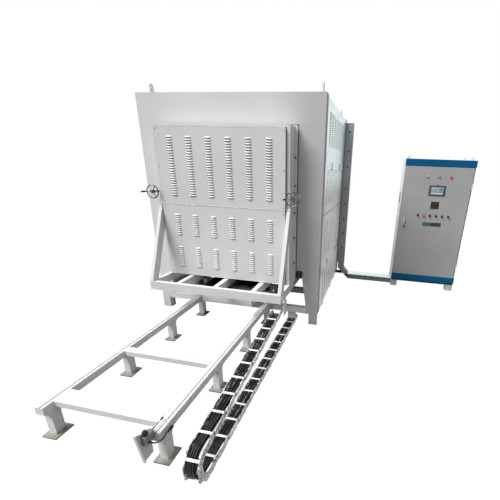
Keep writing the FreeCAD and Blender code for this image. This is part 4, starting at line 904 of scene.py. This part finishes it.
def makeChain(centre, inside, plate, gap, pitch, tall, far, floorLinks, bendJoints, upperLinks, rise, barWide,
              barThick, bunch, wander, cables):
    step = (180 - rise) / bendJoints
    headings = [180] * floorLinks + [180 - step * n for n in range(1, bendJoints)] + [rise] * upperLinks
    places = [(far, tall)]
    for heading in headings:
        y, z = places[-1]
        angle = math.radians(heading)
        places.append((y + pitch * math.cos(angle), z + pitch * math.sin(angle)))
    spots = [at((centre, y, z), turn(heading, "X")) for (y, z), heading in zip(places, headings)]
    gather([(linkShape(n, inside, plate, gap, pitch, tall), spots[n::2]) for n in (0, 1)],
           "dragChainLinks", "furnace", "chainZinc blackPlastic", "chain_zinc", "chain_links")
    gather([(barShape(inside, pitch, tall, barWide, barThick), spots[::2])],
           "dragChainBars", "furnace", "barAluminium", "chain_zinc", "chain_crossbars")
    between = [(a + b) / 2 for a, b in zip(headings, headings[1:])]
    lines = []
    for x, lift, radius in cables:  # the cables bunch together at the bend
        points = []
        for n, ((y, z), heading) in enumerate(zip(places[1:], between)):
            angle = math.radians(heading)
            away = min(abs(n - floorLinks - 1) / 9, 1)
            across = (x + 31) * (bunch + (1 - bunch) * away) - 31 + wander * math.sin(n * 0.9 + x)
            points.append((centre + across, y - lift * math.sin(angle), z + lift * math.cos(angle)))
        lines.append((points, radius))
    finishPiece(asTube(drawn("cableGuide", lines, mm, 2, 3)), "dragChainCables", "furnace", "cableSheath",
                "cord_sheath", "chain_cables")


makeChain(**chainSettings)
print("drag chain made")


# rolling gear: turned wheels with dished webs on their axles, and the bearings' fixings

axles = {"front": -10, "rear": 950}
rollSettings = {"z": 290.3, "wheelX": 352, "half": 25, "radius": 70, "groove": 11, "deep": 12, "axle": 20,
                "reach": 410, "web": 28}
bearingSettings = {"z": 290.3, "inner": 278, "bolt": 6.5, "span": 29, "seal": 25.5, "nipple": (302, -42.5, 40)}


def makeWheelset(word, y, z, wheelX, half, radius, groove, deep, axle, reach, web):
    rim = radius - deep
    outer = [(axle, half), (34, half), (36, half - 2), (37, 14), (42, 10), (50, 11), (55, half - 3), (57, half),
             (radius - 1.5, half), (radius, half - 1.5), (radius, groove + 1), (radius - 1, groove),
             (rim + 1, groove - 0.6), (rim, groove - 2)]
    outline = [(across, -along) for across, along in outer] + outer[::-1]
    wheels = Shape()
    for side in (1, -1):
        wheels.lathe(outline, (side * wheelX, y, z), "X", 56)
        wheels.lathe([(0, 0), (13, 0), (14, 1), (14, 4), (12, 5), (0, 5)], (side * (reach - 2.5) - 2.5, y, z), "X",
                     24, 1)
        for across, up in circle(web, 6):
            wheels.rod(3.4, 4, (side * (wheelX + half - 1), y + across, z + up), "X", 6, 0.5, 1, 1)
    wheels.rod(axle, reach * 2 - 6, (0, y, z), "X", 36, 2.0, 2, 1)
    wheels.done(f"{word}Wheelset", f"{word}_wheels", "wheelSteel platedSteel", "wheel_steel", f"{word}_wheelset")


def makeBearings(z, inner, bolt, span, seal, nipple):
    fixings = Shape()
    for y, side in product(axles.values(), (1, -1)):
        for across, up in circle(span, 4, 45):
            fixings.rod(bolt, 5, (side * inner, y + across, z + up), "X", 6, 0.8, 1)
        fixings.ring(seal, 2.6, (side * (inner + 4.4), y, z), "X", 36, 8, 1)
        fixings.rod(3.4, 9, (side * nipple[0], y + nipple[1], z + nipple[2]), "Y", 12, 1.0, 2, 1)
    fixings.done("bearingFixings", "bogie", "platedSteel darkSteel", "plated_steel")


for word, y in axles.items():
    makeWheelset(word, y, **rollSettings)
makeBearings(**bearingSettings)
print("rolling gear made")


# rails: rounded rolled tube with the square guide strip welded on top

railSettings = {"x": 352, "half": 27, "low": 169, "high": 220, "wall": 4, "bend": 5, "near": -1713, "far": 1538,
                "strip": 6, "stripTall": 5, "weld": 2.2, "weldLong": 26, "weldStep": 240}


def roundedSection(half, low, high, bend):
    left, right, bottom, top = bend - half, half - bend, low + bend, high - bend
    return [(x + across, up + rise)
            for x, up, start in ((right, bottom, 270), (right, top, 0), (left, top, 90), (left, bottom, 180))
            for across, rise in circle(bend, 4, start, 90, 1)]


def makeRail(word, side, x, half, low, high, wall, bend, near, far, strip, stripTall, weld, weldLong, weldStep):
    x *= side
    rail = Shape()
    outer = roundedSection(half, low, high, bend)
    inner = roundedSection(half - wall, low + wall, high - wall, bend - wall + 1)
    loops = [[rail.mesh.verts.new(Vector((x + across, y, up)) * mm) for across, up in section]
             for section, y in ((outer, near), (outer, far), (inner, far), (inner, near + wall))]
    for first, second in zip(loops, loops[1:]):  # the outside, the open far end and the inside
        for n in range(len(first)):
            rail.mesh.faces.new((first[n - 1], first[n], second[n], second[n - 1]))
    for closed in (loops[0], loops[-1]):
        rail.mesh.faces.new(closed)
    rail.block((x - strip, near, high - 0.2), (x + strip, far, high + stripTall), 0.8, 2)
    for along, edge in product(range(near + 60, far, weldStep), (-1, 1)):
        rail.rod(weld, weldLong, (x + edge * (strip + 0.6), along, high + 0.2), "Y", 8)
    rail.done(f"{word}Rail", "furnace", "trackPaint", "base_paint", f"{word}_rail", angle=40)


for word, side in reversed(hands):
    makeRail(word, side, **railSettings)
print("rails made")


# drive: finned motor with its cowl and terminal box, flanged to the gearbox on the front axle

driveSettings = {
    "y": -125, "z": 340, "radius": 52, "start": 68, "end": 258, "fins": 28, "bare": (200, 250), "boxX": (-22, 68),
    "boxY": (-185, 55), "boxZ": (243, 393), "axle": (-10, 290.3), "bore": 27, "boltY": (-174, 44),
}


def makeDrive(y, z, radius, start, end, fins, bare, boxX, boxY, boxZ, axle, bore, boltY):
    drive = Shape()
    drive.lathe([(0, 0), (radius, 0), (radius, 8), (radius - 6, 10), (radius - 6, 138), (0, 138)], (start, y, z),
                "X", 48)
    for angle in [360 * n / fins for n in range(fins)]:
        if not bare[0] < angle < bare[1]:
            drive.block((start + 12, -1.1, radius - 7), (start + 132, 1.1, radius - 0.6), 0.5,
                        place=at((0, y, z), turn(angle, "X")))
    drive.lathe([(radius - 7, 138), (radius - 0.5, 138), (radius - 0.5, 176), (radius - 5, 186), (30, 190),
                 (30, 188), (radius - 7, 184)], (start, y, z), "X", 48, 1)
    for n in range(4):
        drive.ring(8 + n * 6.5, 1.0, (start + 188.6, y, z), "X", 32, 6, 1)
    for n in range(3):
        drive.block((end - 2.6, -1.2, 6), (end - 0.6, 1.2, 33), finish=1, place=at((0, y, z), turn(120 * n, "X")))
    (left, right), (near, far), (low, high) = boxX, boxY, boxZ
    drive.block((left + 6, near, low), (right - 6, far, high), 10, 3)
    for x in (left, right - 6):
        drive.block((x, near + 3, low + 3), (x + 6, far - 3, high - 3), 5, 2)
    for x, along, up in product((left - 0.6, right + 0.6), boltY, (low + 12, high - 12)):
        drive.rod(4.6, 5, (x, along, up), "X", 6, 0.7, 1, 2)
    for x in (left - 5, right):
        drive.lathe([(bore - 1, 0), (38, 0), (40, 1.5), (40, 5), (bore - 1, 5)], (x, *axle), "X", 40)
    drive.rod(6, 10, ((left + right) / 2, near + 60, high - 2), "Z", 6, 1.0, 1, 2)
    drive.rod(7, 4, ((left + right) / 2, near - 1, low + 40), "Y", 20, 1.2, 2, 2)
    drive.done("bogieDrive", "bogie", "drivePaint blackPlastic platedSteel", "drive_paint", "drive_motor")


makeDrive(**driveSettings)
print("drive made")

guardSettings = {"x": (-230, 270), "y": (-250, 92), "z": (240, 393), "wall": 0.75, "ribs": (-105, 20, 145),
                 "bore": 22, "collar": 36, "axle": (-10, 290.3)}


def makeGuard(x, y, z, wall, ribs, bore, collar, axle):
    (left, right), (near, far), (low, high) = x, y, z
    guard = Shape()
    for grow, finish in ((0, 0), (wall, 1)):
        a, b, c, d, e = left + grow, right - grow, near + grow, far - grow, low + grow
        for box in (((a, c, e), (b, c + wall, high)), ((a, d - wall, e), (b, d, high)),
                    ((a, c, e), (a + wall, d, high)), ((b - wall, c, e), (b, d, high)), ((a, c, e), (b, d, e + wall))):
            guard.block(*box, finish=finish)
    for rib in ribs:
        guard.block((rib - 9, near + 20, low - 0.1), (rib + 9, far - 20, low + 0.9), 0.4)
        for along in (near + 0.6, far - 0.6):
            guard.rod(4.5, 4, (rib, along, high - 14), "Y", 6, 0.6, 1, 2)
    for end in (left + 0.9, right - 0.9):
        guard.ring(collar, 2.4, (end, *axle), "X", 40, 8, 1)
        guard.lathe([(bore, -0.9), (collar, -0.9), (collar, 0.9), (bore, 0.9)], (end, *axle), "X", 40, 1)
    guard.done("driveGuard", "bogie", "trackPaint drivePaint platedSteel", "drive_paint", "drive_guard")


makeGuard(**guardSettings)


# heating wire hung in loops along both side walls

wireSettings = {"x": 513, "wire": 2.6, "rows": (780, 930, 1080, 1230, 1380, 1530), "drop": 86, "start": 90,
                "end": 1180, "pitch": 22, "hook": 5, "hooks": 10, "hookStep": 110}


def makeHeaters(x, wire, rows, drop, start, end, pitch, hook, hooks, hookStep):
    for word, side in reversed(hands):
        lines = []
        for row in rows:
            points = []
            for n, along in enumerate(range(start, end, pitch)):
                points += [(side * x, along, up) for up in (row, row - drop)[::-1 if n % 2 else 1]]
            lines.append((points, 1.0))
        finishPiece(asTube(drawn("wireGuide", lines, wire * mm, 1, 3, False)), f"{word}HeatingWire", "furnace",
                    "darkSteel", "wheel_steel")
        held = Shape()
        for row, n in product(rows, range(hooks)):
            along = start + (n + 0.5) * hookStep
            held.rod(hook, 9, (side * (x + 3), along, row - 6), "X", 12, 1.2)
            held.ring(4.2, 1.3, (side * (x - 2.4), along, row - 9), "X", 14, 6)
        held.done(f"{word}WireHooks", "furnace", "paleCasing", "fibre")


makeHeaters(**wireSettings)
print("heating wire made")


# control cabinet's door: bezels, keys, lamps, switch heads, handle and label plate

screenPanel = {"x": (1922, 2112), "z": (1212, 1332), "glassX": (1946, 2088), "glassZ": (1230, 1313),
               "clipX": (2006, 2030)}
controllerPanel = {"x": (1970, 2064), "z": (1058, 1142), "figures": ((1108, 0.95), (1088, 0.7)), "digits": 4,
                   "strokes": ((0, 10, 6, 1.2), (0, 5, 6, 1.2), (0, 0, 6, 1.2), (0, 5, 1.2, 6), (5, 5, 1.2, 6),
                               (5, 0, 1.2, 6))}
devicePanel = {"face": 1389, "lampX": (1883, 2017, 2153), "lampZ": 1432, "z": 970, "buttons": (1, 5), "lit": 1,
               "switchX": (1837, 1908, 1980, 2053, 2125, 2198)}
handlePanel = {"x": 1680, "z": (800, 930), "plateX": (1906, 2128), "plateZ": (842, 888)}


def makeScreen(face, x, z, glassX, glassZ, clipX):
    (left, right), (low, high), (a, b), (c, d) = x, z, glassX, glassZ
    screen = Shape()
    screen.block((left, face - 5.8, low), (right, face, high), 2.4, 3)
    for x1, z1, x2, z2 in ((a - 5, c - 5, b + 5, c), (a - 5, d, b + 5, d + 5), (a - 5, c, a, d), (b, c, b + 5, d)):
        screen.block((x1, face - 6.0, z1), (x2, face - 5, z2), 0.4, 1, 1)
    screen.block((a, face - 5.9, c), (b, face - 5.6, d), finish=2)
    screen.rod(2.2, 1.0, ((left + a) / 2 - 2, face - 6.0, high - 14), "Y", 16, 0.3, 1, 1)
    screen.block((clipX[0], face - 3.4, high - 1), (clipX[1], face, high + 7), 1.2, 2, 1)
    for across, up in product((left + 6, right - 6), (low + 6, high - 6)):
        screen.rod(2.0, 0.8, (across, face - 6.0, up), "Y", 12, 0.3, 1, 1)
    screen.done("touchPanel", "cabinet_leaf", "screenFrame blackPlastic touchScreen", "panel_screen", "touch_panel")


def makeController(face, x, z, figures, digits, strokes):
    (left, right), (low, high) = x, z
    unit = Shape()
    unit.block((left, face - 4.2, low), (right, face, high), 1.6, 2)
    unit.block((left + 5, face - 5.4, low + 4), (right - 5, face - 4, high - 4), 1.0, 2, 1)
    for n, (row, scale), kind in product(range(digits), figures, range(len(strokes))):
        if (n + kind) % 5 != 3:
            across, up, wide, tall = (size * scale for size in strokes[kind])
            start = left + 17 + n * 16 + across
            unit.block((start, face - 5.9, row + up), (start + wide, face - 5.2, row + up + tall), finish=2)
    for n in range(digits):
        key = left + 12 + n * 18.5
        unit.block((key, face - 6.0, low + 8), (key + 13, face - 5, low + 16), 0.5, 1, 3)
    unit.done("temperatureController", "cabinet_leaf", "blackPlastic blackPlastic figureGlow screenFrame",
              "black_plastic", "temperature_controller")


def makeDevices(face, lampX, lampZ, z, buttons, lit, switchX):
    lamps = Shape()
    for x in lampX:
        lamps.lathe([(16, 0), (16, 2), (14.6, 3.6), (12.4, 3.6), (11.8, 2.4)], (x, face, lampZ), "Y", 32, 1)
        lamps.lathe([(12, 2), (12, 8), (11, 11), (8, 13.6), (4, 15), (0, 15.4)], (x, face, lampZ), "Y", 32)
        for n in range(3):
            lamps.ring(11.9 - n * 0.9, 0.5, (x, face - 6 - n * 2.4, lampZ), "Y", 28, 5)
    lamps.done("pilotLamps", "cabinet_leaf", "lampLens darkSteel", "lamp_lens", "pilot_lamps")
    heads = Shape()
    for n, x in enumerate(switchX):
        spot = (x, face, z)
        heads.lathe([(15, 0), (15, 2), (13.8, 3.4), (11.4, 3.6), (10.6, 3.0)], spot, "Y", 32, 1 if n % 2 else 2)
        if n in buttons:
            heads.lathe([(10.4, 2), (10.4, 5), (12.8, 7), (13, 13), (12, 15.6), (9, 16.6), (0, 16.8)], spot, "Y", 32)
        else:
            heads.lathe([(11.2, 2), (11.2, 9), (10.2, 10.6), (0, 10.8)], spot, "Y", 32)
            heads.block((x - 4.2, face - 19, z - 11), (x + 4.2, face - 9, z + 11), 2.0, 3)
            heads.block((x - 0.7, face - 19.4, z + 1), (x + 0.7, face - 18.6, z + 9), finish=3)
        if n == lit:
            heads.lathe([(6.4, 16.6), (6.4, 17.2), (0, 17.4)], spot, "Y", 24, 3)
    heads.done("panelSwitches", "cabinet_leaf", "switchPlastic blackPlastic darkSteel paleCasing", "switch_plastic",
               "panel_switches")


def makeHandle(face, x, z, plateX, plateZ):
    low, high = z
    handle = Shape()
    handle.block((x - 13, face - 5, low), (x + 13, face, high), 4.0, 3)
    handle.block((x - 7.5, face - 22, low + 44), (x + 7.5, face - 8, high - 14), 3.4, 3, 1)
    handle.rod(8.4, 12, (x, face - 9, high - 24), "Y", 24, 2.0, 2, 1)
    handle.rod(9.0, 3.2, (x, face - 6.2, low + 19), "Y", 24, 0.8, 2, 2)
    handle.block((x - 0.8, face - 8.2, low + 14), (x + 0.8, face - 7.4, low + 24), finish=1)
    for up in (low + 6, high - 6):
        handle.rod(2.4, 1.6, (x, face - 5.4, up), "Y", 12, 0.5, 1, 1)
    handle.done("cabinetHandle", "cabinet_leaf", "cabinetPaint paleCasing blackPlastic", "black_plastic",
                "cabinet_handle")
    (left, right), (low, high) = plateX, plateZ
    label = Shape()
    label.block((left, face - 1.8, low), (right, face, high), 0.6)
    for across in (left + 5, right - 5):
        label.rod(2.2, 1.4, (across, face - 2.0, (low + high) / 2), "Y", 12, 0.4, 1, 1)
    label.done("plainPlate", "cabinet_leaf", "labelPlate platedSteel", "label_plate", "blank_label_plate")


# eyebolts on the cabinet's roof, a fan grille on its left side and vent slots on its right

fittingSettings = {
    "ringX": (1653.5, 2368.5), "ringY": (1453.5, 1846.5), "ringZ": 1645, "fanX": 1611, "fanY": (1560, 1740),
    "fanZ": (1088, 1226), "slats": 9, "right": 2411, "slots": 14, "slotY": (1590, 1710), "slotZ": 1150, "slotStep": 14,
}


def makeCabinetFittings(ringX, ringY, ringZ, fanX, fanY, fanZ, slats, right, slots, slotY, slotZ, slotStep):
    eyes = Shape()
    for x, y in product(ringX, ringY):
        eyes.ring(13, 4, (x, y, ringZ), "Y", 36, 12)
        eyes.lathe([(0, 0), (17, 0), (17, 2.2), (12, 3), (10, 5.5), (7, 8), (6, 12)], (x, y, ringZ - 21), "Z", 28)
    eyes.done("cabinetEyebolts", "furnace", "platedSteel", "plated_steel", "cabinet_eyebolts")
    fan = Shape()
    (near, far), (low, high) = fanY, fanZ
    fan.block((fanX - 3, near, low), (fanX, far, high), 1.4, 2)
    for up in evenly(low + 13, high - 13, slats):
        # the dark bars are painted shade in the grille's slots
        fan.block((fanX - 5.6, near + 12, up - 4.4), (fanX - 2.4, far - 12, up + 0.8), 0.8, 2, 1)
    for y, up in product((near + 7, far - 7), (low + 7, high - 7)):
        fan.rod(3, 1.6, (fanX - 3.4, y, up), "X", 12, 0.5, 1, 1)
    fan.done("cabinetFanGrille", "furnace", "paleCasing slotShade", "cabinet_paint")
    vent = Shape()
    near, far = slotY
    for up in range(slotZ, slotZ + slots * slotStep, slotStep):
        vent.block((right - 0.3, near, up), (right + 1.6, far, up + 5), 0.8, 2)
        # the dark strip under each slot's hood is painted shade in the opening
        vent.block((right - 0.3, near + 2, up - 3), (right + 0.5, far - 2, up), finish=1)
    vent.done("cabinetVentSlots", "furnace", "casePaint slotShade", "cabinet_paint")


# switchgear on the mounting plate: ducts, rails, breakers, contactors, relays and a power unit

gearSettings = {
    "face": 1852, "ductX": ((1690, 1730), (2292, 2332)), "ductZ": (220, 1490), "crossX": (1730, 2292),
    "crossZ": (1462, 1150, 860, 560), "combs": 34, "railX": (1750, 2270), "railZ": (1340, 1030, 740),
    "breakers": (1760, 38, 9), "contactors": (1765, 98, 5), "relays": (1758, 25, 14), "powerX": (1760, 2010),
    "powerZ": (250, 500), "fins": 22, "coils": (2070, 78, 3),
}


def spaced(first, step, count):
    return [first + step * n for n in range(count)]


def makeSwitchgear(face, ductX, ductZ, crossX, crossZ, combs, railX, railZ, breakers, contactors, relays, powerX,
                   powerZ, fins, coils):
    gear = Shape()
    low, high = ductZ
    for left, right in ductX:
        gear.block((left + 2, face - 52, low), (right - 2, face, high), 1.0)
        for up in spaced(low + 8, 16, int((high - low) / 16)):
            gear.block((left, face - 46, up), (right, face - 8, up + 9), 0.6)
    left, right = crossX
    for up in crossZ:
        gear.block((left, face - 52, up + 2), (right, face, up + 34), 1.0)
        for x in spaced(left + 6, 16.4, combs):
            gear.block((x, face - 46, up), (x + 9, face - 8, up + 36), 0.6)
    left, right = railX
    for up in railZ:
        gear.block((left, face - 7, up - 17), (right, face - 5.6, up + 17), 0.3, 1, 1)
        for edge in (up - 17, up + 15.6):
            gear.block((left, face - 7, edge), (right, face, edge + 1.4), finish=1)
    top, middle, low = railZ
    for x in spaced(*breakers):
        gear.block((x, face - 62, top - 42), (x + 34, face - 7, top + 42), 1.4, 2)
        gear.block((x, face - 72, top - 22), (x + 34, face - 60, top + 22), 1.4, 2)
        gear.block((x + 11, face - 82, top - 4), (x + 23, face - 70, top + 14), 1.4, 2, 2)
        for up in (top - 34, top + 34):
            gear.rod(3.4, 1.0, (x + 17, face - 62.4, up), "Y", 12, finish=2)
    for x in spaced(*contactors):
        gear.block((x, face - 84, middle - 44), (x + 76, face - 7, middle + 44), 2.4, 2, 2)
        gear.block((x + 8, face - 94, middle - 20), (x + 68, face - 82, middle + 20), 2.4, 2)
        for across, up in product(spaced(x + 16, 22, 3), (middle - 34, middle + 34)):
            gear.rod(5, 1.6, (across, face - 84.4, up), "Y", 14, 0.4, 1, 1)
    for x in spaced(*relays):
        gear.block((x, face - 58, low - 40), (x + 22, face - 7, low + 40), 1.2, 1, 2)
        gear.block((x + 3, face - 72, low - 16), (x + 19, face - 56, low + 18), 1.4, 2)
    (left, right), (bottom, high) = powerX, powerZ
    gear.block((left, face - 130, bottom + 40), (right, face - 2, high), 3.0, 2, 2)
    for x in spaced(left + 6, (right - left - 12) / fins, fins):
        gear.block((x, face - 142, bottom + 60), (x + 4, face - 128, high - 20), 0.5, 1, 1)
    for x in spaced(*coils):
        gear.lathe([(0, 0), (30, 0), (32, 2), (32, 60), (30, 62), (12, 62), (12, 66), (0, 66)],
                   (x, face - 2, bottom + 90), "Y", 36, 2)
        gear.ring(22, 4, (x, face - 66, bottom + 90), "Y", 30, 8)
    gear.done("cabinetSwitchgear", "furnace", "paleCasing platedSteel blackPlastic", "black_plastic")


makeScreen(devicePanel["face"], **screenPanel)
makeController(devicePanel["face"], **controllerPanel)
makeDevices(**devicePanel)
makeHandle(devicePanel["face"], **handlePanel)
makeCabinetFittings(**fittingSettings)
makeSwitchgear(**gearSettings)
print("cabinet devices made")


# floor, world and lamps

lightSettings = {
    "world": 0.30, "floor": 9.0, "tone": 0.17, "glow": 0.97, "white": 1.06,
    "suns": (("key", 3.95, (-0.58, -0.44, 0.87), 36), ("above", 0.9, (0.10, 0.10, 1.0), 80)),
}


def makeStage(world, floor, tone, glow, white, suns):
    scene.view_settings.view_transform = "Standard"
    scene.world = bpy.data.worlds.new("studio")
    sky = Finish("studio", scene.world)
    level = sky.add("MapRange", {"Value": sky.seen(), "To Min": world, "To Max": 1.0})
    light = sky.add("Background", {"Color": (1, 1, 1, 1), "Strength": level})
    sky.add("OutputWorld", {"Surface": light})

    ground = Finish("floor")
    soft = ground.add("BsdfDiffuse", {"Color": (tone, tone, tone, 1)})
    bright = ground.add("Emission", {"Color": (1, 1, 1, 1), "Strength": white})
    both = ground.add("MixShader", {0: ground.seen() * glow, 1: soft, 2: bright})
    ground.add("OutputMaterial", {"Surface": both})
    sheet = Shape()
    bmesh.ops.create_grid(sheet.mesh, x_segments=1, y_segments=1, size=floor)
    sheet = sheet.plain()
    sheet.materials.append(ground.material)
    linked("floor", sheet)

    for name, energy, source, angle in suns:
        data = bpy.data.lights.new(name, "SUN")
        data.energy, data.angle = energy, math.radians(angle)
        linked(name, data).rotation_euler = Vector(source).to_track_quat("Z", "Y").to_euler()


makeStage(**lightSettings)
print("stage made")
